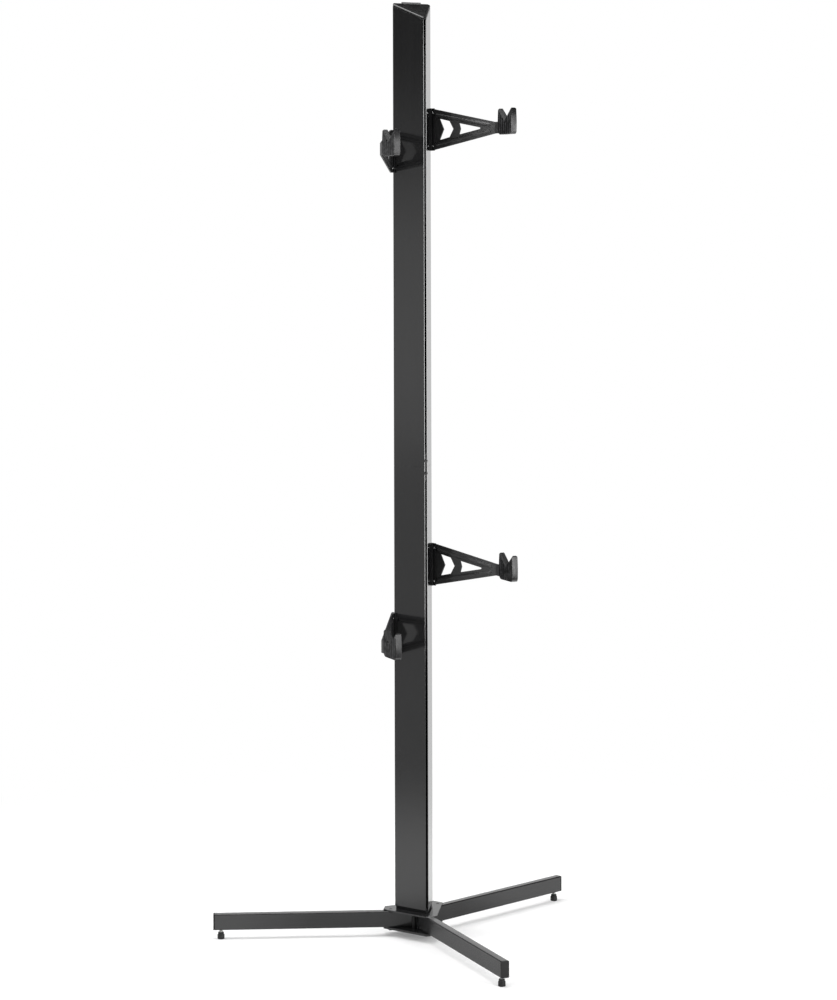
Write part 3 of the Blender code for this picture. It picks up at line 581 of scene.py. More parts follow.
class RackPlasticSettings(bpy.types.PropertyGroup):
    """Finish of the moulded pieces, and the edges of the cradles."""

    plastic: bpy.props.FloatVectorProperty(
        name="Colour", description="Colour of the moulded pieces", subtype="COLOR", size=3,
        min=0.0, max=1.0, default=(0.0070, 0.0070, 0.0073),
    )
    rib_pitch_scale: bpy.props.FloatProperty(
        name="Rib density", description="Density of the upright ribbing on the cradles' sides",
        min=10.0, max=600.0, default=30.0,
    )
    cap_chamfer: bpy.props.FloatProperty(
        name="Cap chamfer", description="Flat along the cap's upper front edges", unit="LENGTH",
        min=0.0005, max=0.0035, default=0.0030, precision=5,
    )
    cradle_edge: bpy.props.FloatProperty(
        name="Cradle edge radius", description="Rounding of the cradles' outer edges", unit="LENGTH",
        min=0.0003, max=0.0030, default=0.0022, precision=5,
    )


class RackStageSettings(bpy.types.PropertyGroup):
    """Camera, floor and lights."""

    lens: bpy.props.FloatProperty(
        name="Lens", description="Focal length of the camera", subtype="DISTANCE_CAMERA",
        min=20.0, max=300.0, default=114.243,
    )
    distance: bpy.props.FloatProperty(
        name="Distance", description="From the camera to the column's axis", unit="LENGTH",
        min=1.0, max=20.0, default=6.022,
    )
    height: bpy.props.FloatProperty(
        name="Height", description="Height of the camera above the floor", unit="LENGTH",
        min=0.1, max=4.0, default=1.5983,
    )
    floor_colour: bpy.props.FloatVectorProperty(
        name="Floor colour", description="Colour of the floor", subtype="COLOR", size=3,
        min=0.0, max=1.0, default=(0.86, 0.86, 0.86),
    )
    floor_lift: bpy.props.FloatProperty(
        name="Floor lift", description="How much whiter the camera sees the floor than it is lit",
        min=0.0, max=1.0, default=0.16,
    )
    world_strength: bpy.props.FloatProperty(
        name="Room light", description="Strength of the even light from all round",
        min=0.0, max=3.0, default=0.72,
    )
    key_power: bpy.props.FloatProperty(
        name="Key light", description="Power of the tall soft light at the front right", unit="POWER",
        min=0.0, max=1000.0, default=90.0,
    )
    edge_power: bpy.props.FloatProperty(
        name="Edge light", description="Power of the narrow light at the front left", unit="POWER",
        min=0.0, max=1000.0, default=26.0,
    )
    side_power: bpy.props.FloatProperty(
        name="Side light", description="Power of the soft light at the upper left", unit="POWER",
        min=0.0, max=1000.0, default=45.0,
    )
    top_power: bpy.props.FloatProperty(
        name="Top light", description="Power of the soft light overhead", unit="POWER",
        min=0.0, max=1000.0, default=60.0,
    )


# Pieces


class RACK_OT_column(bpy.types.Operator):
    """Rounds the edges of both lengths of the column and gives them their finish"""

    bl_idname = "rack.column"
    bl_label = "Column"

    def execute(self, context):
        settings = context.scene.rack_column
        for node in ("column_lower", "column_upper"):
            soften_node(context, node, "stand", "anodised", settings.edge_radius)
        dress_node(context, "joint_sleeve", "anodised")
        dress_node(context, "joint_bar", "oxide_steel")
        return {"FINISHED"}


class RACK_OT_cap(bpy.types.Operator):
    """Builds the moulded cap on the slanted end and the collar at the column's foot"""

    bl_idname = "rack.cap"
    bl_label = "Cap and collar"

    def execute(self, context):
        plastic = context.scene.rack_plastic
        slope = Vector((0, -math.sin(math.radians(CAP_SLOPE)), math.cos(math.radians(CAP_SLOPE))))
        bm = merged_copy("top_cap")
        ahead = [face for face in bm.faces if abs(face.normal.z) < 0.1 and face.normal.y < -0.3]
        rim = [
            edge for face in ahead for edge in face.edges
            if any(other is not face and other.normal.dot(slope) > 0.8 for other in edge.link_faces)
        ]
        round_edges(bm, list(set(rim)), plastic.cap_chamfer, 1)
        round_edges(bm, sharp_edges(bm, 34.0), 0.0005)
        smooth = shared(cap_black, plastic)
        make_piece(bm, "top_cap_shell", [smooth], "stand", ["top_cap"])
        collar = soften_node(context, "column_foot", "stand", "moulded", 0.0005)
        # The collar takes a darker copy of the moulded plastic, painted shade in the recess at the column's
        # foot.
        collar.data.materials[0] = shared(collar_black_painted_shade, plastic)
        return {"FINISHED"}


class RACK_OT_base(bpy.types.Operator):
    """Builds the two base plates and the three legs with their end caps"""

    bl_idname = "rack.base"
    bl_label = "Base"

    def execute(self, context):
        settings = context.scene.rack_coat
        for node in ("base_top_plate", "base_bottom_plate"):
            soften_node(context, node, "stand", "coated", settings.edge_radius)
        for leg in LEGS:
            soften_node(context, leg + "_leg", "stand", "coated", 0.0003, 1, 50.0)
            soften_node(context, leg + "_leg_end", "stand", "moulded", 0.0008, 2, 50.0)
        return {"FINISHED"}


# Half the section of a foot, a rubber boot with a waist under its collar: radius and height in metres
PAD_PROFILE = [
    (0.0066, 0.0), (0.0076, 0.0004), (0.0080, 0.0014), (0.0080, 0.0092), (0.0078, 0.0100),
    (0.0072, 0.0106), (0.0067, 0.0113), (0.0066, 0.0142), (0.0063, 0.0151), (0.0057, 0.0155),
    (0.0043, 0.0155), (0.0043, 0.0095),
]
THREAD_RADIUS = 0.0040
THREAD_PITCH = 0.00125


def stud_profile(low, high):
    """Half the section of a threaded stud."""
    radius, pitch = THREAD_RADIUS, THREAD_PITCH
    points = [(radius * 0.78, low), (radius, low + pitch * 0.5)]
    level = low + pitch
    root = radius * 0.86
    while level + pitch < high:
        points += [(radius, level), (root, level + pitch * 0.42), (root, level + pitch * 0.58)]
        level += pitch
    points += [(radius, level), (radius, high - pitch * 0.5), (radius * 0.78, high)]
    return points


class RACK_OT_feet(bpy.types.Operator):
    """Builds the levelling feet: boots, threaded studs and lock nuts"""

    bl_idname = "rack.feet"
    bl_label = "Levelling feet"

    def execute(self, context):
        for leg, turn in LEGS.items():
            angle = math.radians(turn - 90)
            reach = LEG_REACH - FOOT_INSET
            spot = Matrix.Translation((reach * math.cos(angle), AXIS_Y + reach * math.sin(angle), 0))
            pad = moved(turned(PAD_PROFILE, 40), spot)
            make_piece(
                pad, leg + "_foot_boot", [finish_of(context, "rubber")], leg + "_foot",
                [leg + "_foot_pad"], weighted=False,
            )
            low, high = (corner.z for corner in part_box(leg + "_foot_stud"))
            stud = moved(turned(stud_profile(low, high)), spot)
            make_piece(
                stud, leg + "_foot_thread", [finish_of(context, "zinc_steel")], leg + "_foot",
                [leg + "_foot_stud"], sharp=60.0, weighted=False,
            )
            dress_node(context, leg + "_foot_nut", "zinc_steel")
        return {"FINISHED"}


def flat_plate(outlines):
    """A flat triangulated face in the XY plane, in millimetres, of an outline and its windows."""
    bm = bmesh.new()
    for outline in outlines:
        ring = [bm.verts.new((x, y, 0)) for x, y in outline]
        for start, end in zip(ring, ring[1:] + ring[:1]):
            bm.edges.new((start, end))
    bmesh.ops.triangle_fill(bm, use_beauty=True, use_dissolve=False, edges=bm.edges, normal=(0, 0, 1))
    return bm


def cut_across(bm, point, normal, beyond=None):
    """Adds a row of edges where a plane meets the plate, up to beyond from the root if that is given."""
    faces = bm.faces[:]
    if beyond is not None:
        faces = [face for face in faces if face.calc_center_median().x < beyond]
    edges = list({edge for face in faces for edge in face.edges})
    verts = list({vert for face in faces for vert in face.verts})
    bmesh.ops.bisect_plane(bm, geom=verts + edges + faces, dist=0.0005, plane_co=point, plane_no=normal)


BEAD_START = Vector((17.0, 33.1))
BEAD_END = Vector((163.5, 7.3))
UPPER_FLANK = 0.46
LOWER_FLANK = 0.20
BEAD_ROWS = (-0.5, -0.465, -0.43, -0.395, -0.36, -0.32, -0.28, 0.0, 0.06, 0.13, 0.21, 0.29, 0.37, 0.44, 0.5)
BEAD_END_ROWS = (-0.15, 0.0, 0.12, 0.22, 0.30, 0.36, 0.42, 0.5)
BEAD_LENGTHS = 9
FOLD_ROWS = 8


def bead_depth(x, y, width, height):
    """How far the press has pushed a point of the plate in: a long upper flank and a steep lower one."""
    along = BEAD_END - BEAD_START
    point = Vector((x, abs(y)))
    share = max(0.0, min(1.0, (point - BEAD_START).dot(along) / along.length_squared))
    away = point - BEAD_START - along * share
    upper = away.y * (1 if y > 0 else -1) > 0
    flank = width * (UPPER_FLANK if upper else LOWER_FLANK)
    step = max(0.0, min(1.0, (width / 2 - away.length) / flank))
    return height * step * step * (3 - 2 * step)


def folded(x, out, radius):
    """Where a point of the flat plate goes when the tongue is folded in."""
    turn = math.radians(FOLD_ANGLE)
    half = radius * math.tan(turn / 2)
    corner = FOLD_AT + ARM_WALL / MM / 2 * math.tan(turn / 2)
    if x <= corner - half:
        return x, out
    if x >= corner + half:
        run, ahead, aside = x - corner, math.cos(turn), math.sin(turn)
        return corner + run * ahead + out * aside, out * ahead - run * aside
    angle = (x - corner + half) / (2 * half) * turn
    return corner - half + (radius + out) * math.sin(angle), (radius + out) * math.cos(angle) - radius


def cut_for_beads(bm, width):
    """Adds the rows of edges that the two beads need along and round their flanks."""
    last = BEAD_END.x + width
    cut_across(bm, (last, 0, 0), (1, 0, 0))
    along = (BEAD_END - BEAD_START).normalized()
    for side in (-1, 1):
        for share in BEAD_ROWS:
            offset = -side * share * width * 1.01
            point = (BEAD_START.x + along.y * offset, side * (BEAD_START.y - along.x * offset), 0)
            cut_across(bm, point, (along.y, -side * along.x, 0), last)
    for middle, sense in ((BEAD_START.x, -1), (BEAD_END.x, 1)):
        for share in BEAD_END_ROWS:
            cut_across(bm, (middle + sense * share * width, 0, 0), (1, 0, 0), last + 1)
    for i in range(1, BEAD_LENGTHS):
        cut_across(bm, (BEAD_START.x + (BEAD_END.x - BEAD_START.x) * i / BEAD_LENGTHS, 0, 0), (1, 0, 0), last)


def cut_for_fold(bm, radius):
    """Adds the rows of edges that the fold needs."""
    slant = math.tan(math.radians(FOLD_ANGLE / 2))
    corner = FOLD_AT + ARM_WALL / MM / 2 * slant
    for i in range(FOLD_ROWS + 1):
        cut_across(bm, (corner + radius * slant * (2 * i / FOLD_ROWS - 1), 0, 0), (1, 0, 0))


def arm_plate(settings):
    """An arm with its beads pressed in: along in X, up in Y and out from the column in Z, in millimetres."""
    cradle = FOLD_AT + NECK
    end = cradle + TONGUE
    edge = [(-ROOT_BACK, -ROOT_HALF), (TAPER_START, -ROOT_HALF), (FOLD_AT, -TIP_HALF)]
    edge += [(end, -TIP_HALF), (end, TIP_HALF)]
    edge += [(cradle + x, y) for x, y in EAR]
    edge += [(FOLD_AT, TIP_HALF), (TAPER_START, ROOT_HALF), (-ROOT_BACK, ROOT_HALF)]
    bm = flat_plate([edge, CHEVRON, ARROW])
    width = settings.bead_width / MM
    height = settings.bead_height / MM
    radius = settings.fold_radius / MM
    cut_for_beads(bm, width)
    cut_for_fold(bm, radius)
    outer = set(extruded(bm, bm.faces[:], True))
    half_wall = (ARM_OUTER - ARM_INNER) / 2 / MM
    for vert in bm.verts:
        out = (half_wall if vert in outer else -half_wall) - bead_depth(vert.co.x, vert.co.y, width, height)
        vert.co.x, vert.co.z = folded(vert.co.x, out, radius)
    return bm


class RACK_OT_arms(bpy.types.Operator):
    """Presses the four arms, with beads, windows and a fold before the cradle"""

    bl_idname = "rack.arms"
    bl_label = "Arms"

    def execute(self, context):
        settings = context.scene.rack_coat
        coat = shared(arm_coat, settings)
        for name, height in ARM_HEIGHTS.items():
            side = arm_side(name)
            bm = arm_plate(settings)
            bmesh.ops.scale(bm, vec=(MM, MM, MM), verts=bm.verts)
            middle = (ARM_INNER + ARM_OUTER) / 2
            stand = Matrix(((1, 0, 0, 0), (0, 0, side, side * middle), (0, 1, 0, 0), (0, 0, 0, 1)))
            turn = Matrix.Rotation(math.radians(-60 if side > 0 else -120), 4, "Z")
            moved(bm, Matrix.Translation((0, AXIS_Y, height)) @ turn @ stand)
            body = name + "_carriage"
            arm = make_piece(bm, name + "_arm_plate", [coat], body, [name + "_arm"], weighted=False)
            rim = arm.modifiers.new("rounded_rim", "BEVEL")
            rim.width = settings.edge_radius
            rim.segments = 2
            rim.limit_method = "ANGLE"
            rim.angle_limit = math.radians(55)
            rim.use_clamp_overlap = True
            add_even_shading(arm)
        return {"FINISHED"}


class RACK_OT_saddles(bpy.types.Operator):
    """Builds the saddles between the arms and the column, and dresses the nuts in the slots"""

    bl_idname = "rack.saddles"
    bl_label = "Saddles and slot nuts"

    def execute(self, context):
        for name in ARM_HEIGHTS:
            soften_node(context, name + "_saddle", name + "_carriage", "moulded", 0.0005)
            dress_node(context, name + "_slot_nut", "zinc_steel")
        return {"FINISHED"}


def front_bow(height):
    """How far a cradle's front falls back from its fullest point, in millimetres."""
    reach = (height - BOW_MIDDLE) / (CRADLE_HEIGHT - BOW_MIDDLE)
    return BOW * reach * reach


def half_cradle(front):
    """Half a cradle, split at the bottom of its V: x out from the middle, y across, z up, in millimetres."""
    middle = CRADLE_DEPTH / 2
    if front:
        heights = (0, *range(11, 54, 6), CRADLE_HEIGHT)
        edge = [(middle - front_bow(z), z) for z in heights]
    else:
        edge = [(middle, 0), (middle, LEAN_HEIGHT), (middle - LEAN, CRADLE_HEIGHT)]
    outline = [(0, 0), *edge, (0, CRADLE_HEIGHT)]
    bm = bmesh.new()
    ring = [bm.verts.new((x, -CRADLE_WIDTH / 2, z)) for x, z in outline]
    bm.faces.new(ring)
    round_edges(bm, [ring[1]], FRONT_RADIUS if front else BACK_RADIUS, 8, "VERTICES")
    if not front:
        round_edges(bm, [ring[2]], LEAN_RADIUS, 4, "VERTICES")
    round_edges(bm, [ring[-2]], FRONT_TIP if front else BACK_TIP, 5, "VERTICES")
    bmesh.ops.translate(bm, vec=(0, CRADLE_WIDTH, 0), verts=extruded(bm, bm.faces[:]))
    bmesh.ops.holes_fill(bm, edges=bm.edges, sides=0)
    slope = Vector((-V_DEPTH, 0, V_HALF)).normalized()
    bottom = Vector((0, 0, CRADLE_HEIGHT - V_DEPTH))
    core = CRADLE_WIDTH / 2 - FLARE
    planes = [(bottom, slope)]
    for side in (-1, 1):
        planes.append((bottom + Vector((0, side * core, 0)), (slope + Vector((0, side, 0))).normalized()))
    for point, normal in planes:
        whole = bm.verts[:] + bm.edges[:] + bm.faces[:]
        bmesh.ops.bisect_plane(bm, geom=whole, dist=0.0005, plane_co=point, plane_no=normal, clear_outer=True)
        bmesh.ops.holes_fill(bm, edges=bm.edges, sides=0)
    inside = [face for face in bm.faces if all(abs(vert.co.x) < 0.001 for vert in face.verts)]
    bmesh.ops.delete(bm, geom=inside, context="FACES_ONLY")
    return bm


def cradle_block():
    """A whole cradle in its own frame: x to the front, y across, z up, with the origin under the V."""
    front = half_cradle(True)
    back = half_cradle(False)
    bmesh.ops.scale(back, vec=(-1, 1, 1), verts=back.verts)
    bm = joined([front, back])
    bmesh.ops.remove_doubles(bm, verts=bm.verts, dist=0.001)
    bmesh.ops.recalc_face_normals(bm, faces=bm.faces)
    level = math.radians(0.5)
    flat = [edge for edge in bm.edges if len(edge.link_faces) == 2 and edge.calc_face_angle(0) < level]
    bmesh.ops.dissolve_edges(bm, edges=flat, use_verts=True)
    return bm


def is_lining(face):
    """Whether a face of a cradle lines its V."""
    middle = face.calc_center_median()
    return face.normal.z > 0.3 and middle.z > CRADLE_HEIGHT - V_DEPTH - FLARE * 1.4 and abs(middle.x) < V_HALF


def cradle_finish(face):
    """Which of a cradle's four finishes a face has: flank, lining, plain or rim. The plain faces and the rims
    take lighter copies of the plastic, painted light.
    """
    if is_lining(face):
        return 1
    if abs(face.normal.y) > 0.95:
        return 0
    return 2 if max(abs(face.normal.x), abs(face.normal.z)) > 0.95 else 3


class RACK_OT_cradles(bpy.types.Operator):
    """Builds the V cradles on the arms' tongues"""

    bl_idname = "rack.cradles"
    bl_label = "Cradles"

    def execute(self, context):
        settings = context.scene.rack_plastic
        grip = shared(cradle_flank, settings)
        band = shared(cradle_front_painted_light, settings)
        rim = shared(cradle_rim_painted_highlight, settings)
        lining = finish_of(context, "rubber")
        for name in ARM_HEIGHTS:
            bm = cradle_block()
            outer = [edge for edge in sharp_edges(bm, 50) if not any(map(is_lining, edge.link_faces))]
            round_edges(bm, outer, settings.cradle_edge / MM, 3)
            round_edges(bm, sharp_edges(bm, 28), 0.45)
            for face in bm.faces:
                face.material_index = cradle_finish(face)
            bmesh.ops.scale(bm, vec=(MM, MM, MM), verts=bm.verts)
            low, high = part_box(name + "_cradle")
            place = Vector(((low.x + high.x) / 2, (low.y + high.y) / 2, low.z))
            moved(bm, Matrix.Translation(place) @ Matrix.Rotation(math.radians(-90), 4, "Z"))
            make_piece(
                bm, name + "_cradle_block", [grip, lining, band, rim], name + "_carriage",
                [name + "_cradle"], sharp=45.0,
            )
        return {"FINISHED"}


# Where an arm's screws sit, from its middle and from the column's corner, and how long their shanks are
CLAMP_RISE = 0.025
CLAMP_LENGTH = 0.0198
CROSS_LENGTH = 0.0143
SADDLE_SINK = 0.0031
SADDLE_REACH = 0.0092
SADDLE_RISE = 0.038
SADDLE_LENGTH = 0.0020


def clamp_screws(name, height, outward, oxide):
    """The two bolts that clamp an arm to the column."""
    for end, level in (("top", CLAMP_RISE), ("bottom", -CLAMP_RISE)):
        shape = screw(CLAMP_SCREW, CLAMP_LENGTH)
        moved(shape, aimed(Vector((0, AXIS_Y, height + level)) + outward * (ARM_OUTER + GAP), outward))
        nodes = [f"{name}_clamp_bolt_{end}"]
        make_piece(shape, f"{name}_clamp_screw_{end}", [oxide], name + "_carriage", nodes)


def cross_screw(name, oxide):
    """The screw through a cradle and the ear inside it."""
    low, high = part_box(name + "_cradle_screw")
    head = (low.x + CROSS_SCREW.height, (low.y + high.y) / 2, (low.z + high.z) / 2)
    shape = moved(screw(CROSS_SCREW, CROSS_LENGTH), aimed(head, (-1, 0, 0)))
    nodes = [name + "_cradle_screw"]
    make_piece(shape, name + "_cross_screw", [oxide], name + "_carriage", nodes)


def saddle_screws(name, height, outward, bright):
    """The four small screws in an arm's saddle."""
    across = Vector((-outward.y, outward.x, 0)) * -arm_side(name)
    axis = Vector((0, AXIS_Y, height)) + outward * (SADDLE_FACE - SADDLE_SINK)
    heads = []
    for reach in (SADDLE_REACH, -SADDLE_REACH):
        for level in (SADDLE_RISE, -SADDLE_RISE):
            shape = screw(SADDLE_SCREW, SADDLE_LENGTH)
            heads.append(moved(shape, aimed(axis + across * reach + Vector((0, 0, level)), -outward)))
    make_piece(joined(heads), name + "_saddle_screws", [bright], name + "_carriage")


def joint_screw(node, level, oxide):
    """A screw through the column's front corner into the joint's bar."""
    rise = JOINT_SCREW.height
    low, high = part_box(node)
    shape = moved(screw(JOINT_SCREW, high.y - low.y - rise), aimed((0, low.y + rise, level), (0, -1, 0)))
    make_piece(shape, node + "_head", [oxide], "stand", [node])


def foot_screw(node, oxide):
    """The screw through the column's rear face into its foot."""
    rise = FOOT_SCREW.height
    low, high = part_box(node)
    shape = screw(FOOT_SCREW, high.y - low.y - rise)
    moved(shape, aimed((0, high.y - rise, (low.z + high.z) / 2), (0, 1, 0)))
    make_piece(shape, node + "_head", [oxide], "stand", [node])


def base_screw(node, name, kind, oxide):
    """A bolt up through the base, with its head underneath."""
    low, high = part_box(node)
    shape = screw(kind, high.z - low.z - kind.height)
    moved(shape, aimed(((low.x + high.x) / 2, (low.y + high.y) / 2, low.z + kind.height), (0, 0, -1)))
    make_piece(shape, name, [oxide], "stand", [node])


class RACK_OT_fasteners(bpy.types.Operator):
    """Builds the bolts and screws, each with its recess, and the small side screws of the saddles"""

    bl_idname = "rack.fasteners"
    bl_label = "Bolts and screws"

    def execute(self, context):
        oxide = finish_of(context, "oxide_steel")
        bright = shared(bright_zinc, context.scene.rack_plastic)
        for name, height in ARM_HEIGHTS.items():
            corner = math.radians(CORNERS["right" if arm_side(name) > 0 else "left"])
            outward = Vector((math.cos(corner), math.sin(corner), 0))
            clamp_screws(name, height, outward, oxide)
            cross_screw(name, oxide)
            saddle_screws(name, height, outward, bright)
        joint_screw("joint_screw_upper", JOINT_HEIGHT + JOINT_SCREW_RISE, oxide)
        joint_screw("joint_screw_lower", JOINT_HEIGHT - JOINT_SCREW_RISE, oxide)
        foot_screw("column_foot_screw", oxide)
        for name in ("left", "right", "rear"):
            base_screw("tie_bolt_" + name, "tie_screw_" + name, TIE_SCREW, oxide)
        for leg in LEGS:
            base_screw(leg + "_leg_bolt", leg + "_leg_screw", LEG_SCREW, oxide)
        return {"FINISHED"}


# Stage

VIEW_RIGHT = Vector((0.9175, -0.3978, 0.0))
VIEW_AHEAD = Vector((0.3978, 0.9175, 0.0))
VIEW_ROLL = math.radians(-0.153)
VIEW_SHIFT = -270.0 / 837.0
VIEW_ASIDE = -0.00538


def add_camera(context, settings):
    data = bpy.data.cameras.new("photo_view")
    data.sensor_width = 36.0
    data.sensor_fit = "HORIZONTAL"
    data.lens = settings.lens
    data.shift_y = VIEW_SHIFT
    data.clip_end = 60.0
    camera = bpy.data.objects.new("photo_view", data)
    context.scene.collection.objects.link(camera)
    up = Vector((0, 0, 1))
    right = VIEW_RIGHT.normalized()
    ahead = VIEW_AHEAD.normalized()
    across = right * math.cos(VIEW_ROLL) + up * math.sin(VIEW_ROLL)
    above = up * math.cos(VIEW_ROLL) - right * math.sin(VIEW_ROLL)
    place = Vector((0, AXIS_Y, settings.height)) - ahead * settings.distance - right * VIEW_ASIDE
    turn = Matrix((across, above, -ahead)).transposed().to_4x4()
    camera.matrix_world = Matrix.Translation(place) @ turn
    context.scene.camera = camera


def add_lamp(context, name, power, width, height, location, target):
    data = bpy.data.lights.new(name, "AREA")
    data.energy = power
    data.shape = "RECTANGLE"
    data.size = width
    data.size_y = height
    lamp = bpy.data.objects.new(name, data)
    context.scene.collection.objects.link(lamp)
    towards = Vector(target) - Vector(location)
    lamp.matrix_world = Matrix.Translation(location) @ towards.to_track_quat("-Z", "Y").to_matrix().to_4x4()
    return lamp


def feed(tree, socket, value):
    """Sets a socket to a number or links another socket to it."""
    if isinstance(value, float):
        socket.default_value = value
    else:
        tree.links.new(value, socket)


def ramp(tree, source, start, end, low=0.0, high=1.0):
    """Maps start..end of a value to low..high with a soft start and end."""
    return ranged(tree, source, start, end, low, high, "SMOOTHSTEP")


def worked_out(tree, operation, first, second):
    """The result of a sum of two values, each a number or a socket."""
    node = tree.nodes.new("ShaderNodeMath")
    node.operation = operation
    feed(tree, node.inputs[0], first)
    feed(tree, node.inputs[1], second)
    return node.outputs["Value"]


def glowing(tree, kind, strength, level=1.0):
    """A grey or white Background or Emission shader."""
    node = tree.nodes.new(kind)
    node.inputs["Color"].default_value = (level, level, level, 1)
    feed(tree, node.inputs["Strength"], strength)
    return node


def mixed_shader(tree, share, first, second):
    node = tree.nodes.new("ShaderNodeMixShader")
    for socket, source in zip(node.inputs, (share, first, second)):
        tree.links.new(source, socket)
    return node.outputs["Shader"]


def seen_directly(tree):
    """The light path, and 1 for what the camera, gloss or glass sees or 0 for what lights the pieces."""
    path = tree.nodes.new("ShaderNodeLightPath")
    eye = worked_out(tree, "MAXIMUM", path.outputs["Is Camera Ray"], path.outputs["Is Glossy Ray"])
    return path, worked_out(tree, "MAXIMUM", eye, path.outputs["Is Transmission Ray"])


# Where gloss sees the room turn from dark to white: ahead of the camera, above the horizon and overhead
SWEEP = (-0.25, 0.30)
HORIZON = (-0.02, 0.07)
CEILING = (0.27, 0.42)
HORIZON_DARK = 0.03
CEILING_DARK = 0.04
ROOM_GREY = 0.8


def build_world(context, settings):
    """White where the camera looks, and a room that is darker on the camera's side where gloss looks."""
    world = bpy.data.worlds.new("studio")
    context.scene.world = world
    world.use_nodes = True
    tree = world.node_tree
    tree.nodes.clear()
    out = tree.nodes.new("ShaderNodeOutputWorld")
    lit = glowing(tree, "ShaderNodeBackground", settings.world_strength, ROOM_GREY)
    seen = glowing(tree, "ShaderNodeBackground", 1.0)
    mirror = glowing(tree, "ShaderNodeBackground", 1.0)
    path, direct = seen_directly(tree)
    place = tree.nodes.new("ShaderNodeTexCoord")
    facing = tree.nodes.new("ShaderNodeVectorMath")
    facing.operation = "DOT_PRODUCT"
    facing.inputs[1].default_value = VIEW_AHEAD
    tree.links.new(place.outputs["Generated"], facing.inputs[0])
    split = tree.nodes.new("ShaderNodeSeparateXYZ")
    tree.links.new(place.outputs["Generated"], split.inputs["Vector"])
    ahead = ramp(tree, facing.outputs["Value"], *SWEEP)
    level = ramp(tree, split.outputs["Z"], *HORIZON, 1.0, HORIZON_DARK)
    overhead = ramp(tree, split.outputs["Z"], *CEILING, 1.0, CEILING_DARK)
    backdrop = worked_out(tree, "MULTIPLY", ahead, overhead)
    tree.links.new(worked_out(tree, "MAXIMUM", backdrop, level), mirror.inputs["Color"])
    shader = mixed_shader(tree, direct, lit.outputs["Background"], seen.outputs["Background"])
    shader = mixed_shader(tree, path.outputs["Is Glossy Ray"], shader, mirror.outputs["Background"])
    tree.links.new(shader, out.inputs["Surface"])


# Distances on the floor from its middle, in metres, and how much darker gloss sees the floor there: painted
# shade under the rack and on the left, seen only in reflections
UNDER_RACK = (0.25, 0.50)
UNDER_RACK_PAINTED_SHADE = 0.50
FADE_OUT = (0.75, 2.0)
LEFT_SIDE = (-0.5, -1.5)
LEFT_SIDE_PAINTED_SHADE = 0.42


def floor_material(settings):
    """A pale floor that keeps the pieces' soft shadow near them and runs into the white further out.
    Reflections see it with painted shade: darker under the rack and on the left.
    """
    made, shader = blank_material("studio_floor", 0.9, 0.0, 1.3, 0.0)
    tree = made.node_tree
    colour = tinted(made, grain(made, 3.0, 2.0), *shades(settings.floor_colour, 0.99, 1.0))
    path, direct = seen_directly(tree)
    gloss = path.outputs["Is Glossy Ray"]
    place = tree.nodes.new("ShaderNodeTexCoord")
    reach = tree.nodes.new("ShaderNodeVectorMath")
    reach.operation = "LENGTH"
    tree.links.new(place.outputs["Object"], reach.inputs[0])
    away = reach.outputs["Value"]
    split = tree.nodes.new("ShaderNodeSeparateXYZ")
    tree.links.new(place.outputs["Object"], split.inputs["Vector"])

    # Painted shade: gloss sees the floor's colour darker under the rack.
    painted_gloss_shade = worked_out(tree, "MULTIPLY", gloss, ramp(tree, away, *UNDER_RACK, UNDER_RACK_PAINTED_SHADE, 0.0))
    shown = tree.nodes.new("ShaderNodeVectorMath")
    shown.operation = "SCALE"
    tree.links.new(colour, shown.inputs[0])
    tree.links.new(worked_out(tree, "SUBTRACT", 1.0, painted_gloss_shade), shown.inputs["Scale"])
    tree.links.new(shown.outputs["Vector"], shader.inputs["Base Color"])
    lift = worked_out(tree, "MULTIPLY", direct, settings.floor_lift)
    near = tree.nodes.new("ShaderNodeAddShader")
    tree.links.new(shader.outputs["BSDF"], near.inputs[0])
    tree.links.new(glowing(tree, "ShaderNodeEmission", lift).outputs["Emission"], near.inputs[1])

    # Painted shade: gloss sees the far floor's glow darker on the left.
    painted_gloss_shade = worked_out(tree, "MULTIPLY", gloss, ramp(tree, split.outputs["X"], *LEFT_SIDE, 0.0, LEFT_SIDE_PAINTED_SHADE))
    far = glowing(tree, "ShaderNodeEmission", worked_out(tree, "SUBTRACT", 1.0, painted_gloss_shade))
    share = worked_out(tree, "MULTIPLY", direct, ramp(tree, away, *FADE_OUT))
    surface = mixed_shader(tree, share, near.outputs["Shader"], far.outputs["Emission"])
    tree.links.new(surface, tree.nodes["Material Output"].inputs["Surface"])
    return made


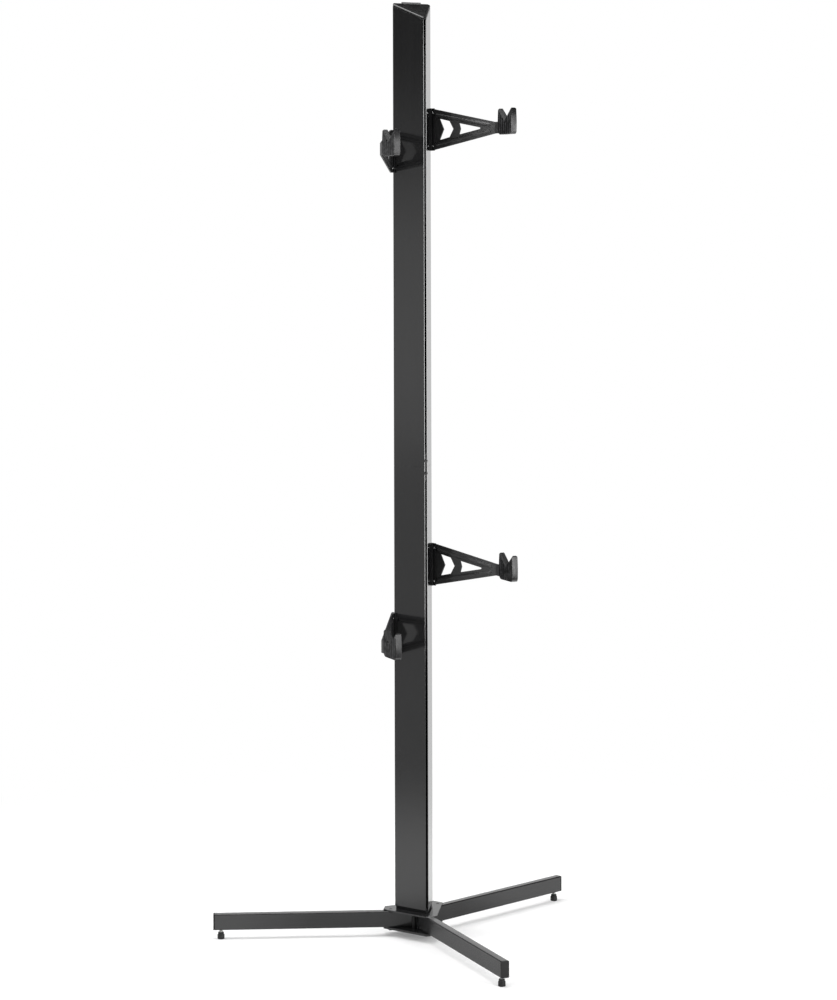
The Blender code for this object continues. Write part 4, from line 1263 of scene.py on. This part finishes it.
class RACK_OT_stage(bpy.types.Operator):
    """Sets the floor, the lights and the camera"""

    bl_idname = "rack.stage"
    bl_label = "Stage"

    def execute(self, context):
        settings = context.scene.rack_stage
        context.scene.view_settings.view_transform = "Standard"
        bm = bmesh.new()
        bmesh.ops.create_grid(bm, x_segments=1, y_segments=1, size=14.0)
        mesh = bpy.data.meshes.new("studio_floor")
        bm.to_mesh(mesh)
        bm.free()
        floor = bpy.data.objects.new("studio_floor", mesh)
        context.scene.collection.objects.link(floor)
        mesh.materials.append(floor_material(settings))
        build_world(context, settings)
        add_lamp(context, "key", settings.key_power, 0.9, 2.2, (1.62, -3.35, 1.23), (0, 0.1, 1.0))
        add_lamp(context, "overhead", settings.top_power, 1.7, 1.7, (-0.2, 0.35, 3.9), (-0.1, 0.25, 0.3))
        add_lamp(context, "upper_left", settings.side_power, 1.3, 1.3, (-2.75, 0.9, 3.3), (0, 0.1, 1.4))
        add_lamp(context, "front_left", settings.edge_power, 0.5, 1.8, (-3.0, -1.15, 1.5), (0, 0.1, 1.2))
        add_camera(context, settings)
        return {"FINISHED"}


class RACK_PT_panel(bpy.types.Panel):
    """Lists the column's settings and the operators that build it"""

    bl_idname = "RACK_PT_panel"
    bl_label = "Storage column"
    bl_space_type = "VIEW_3D"
    bl_region_type = "UI"
    bl_category = "Column"

    def draw(self, context):
        layout = self.layout
        scene = context.scene
        for group in (scene.rack_column, scene.rack_coat, scene.rack_plastic, scene.rack_stage):
            box = layout.box()
            for name in group.__annotations__:
                box.prop(group, name)
        for operator in OPERATORS:
            layout.operator(operator.bl_idname)


GROUPS = {
    "rack_column": RackColumnSettings,
    "rack_coat": RackCoatSettings,
    "rack_plastic": RackPlasticSettings,
    "rack_stage": RackStageSettings,
}
OPERATORS = (
    RACK_OT_column,
    RACK_OT_cap,
    RACK_OT_base,
    RACK_OT_feet,
    RACK_OT_arms,
    RACK_OT_saddles,
    RACK_OT_cradles,
    RACK_OT_fasteners,
    RACK_OT_stage,
)


def register():
    for name, group in GROUPS.items():
        bpy.utils.register_class(group)
        setattr(bpy.types.Scene, name, bpy.props.PointerProperty(type=group))
    for operator in OPERATORS:
        bpy.utils.register_class(operator)
    bpy.utils.register_class(RACK_PT_panel)


def unregister():
    bpy.utils.unregister_class(RACK_PT_panel)
    for operator in reversed(OPERATORS):
        bpy.utils.unregister_class(operator)
    for name, group in GROUPS.items():
        delattr(bpy.types.Scene, name)
        bpy.utils.unregister_class(group)


def main():
    register()
    for operator in OPERATORS:
        group, name = operator.bl_idname.split(".")
        getattr(getattr(bpy.ops, group), name)()


if __name__ == "__main__":
    main()
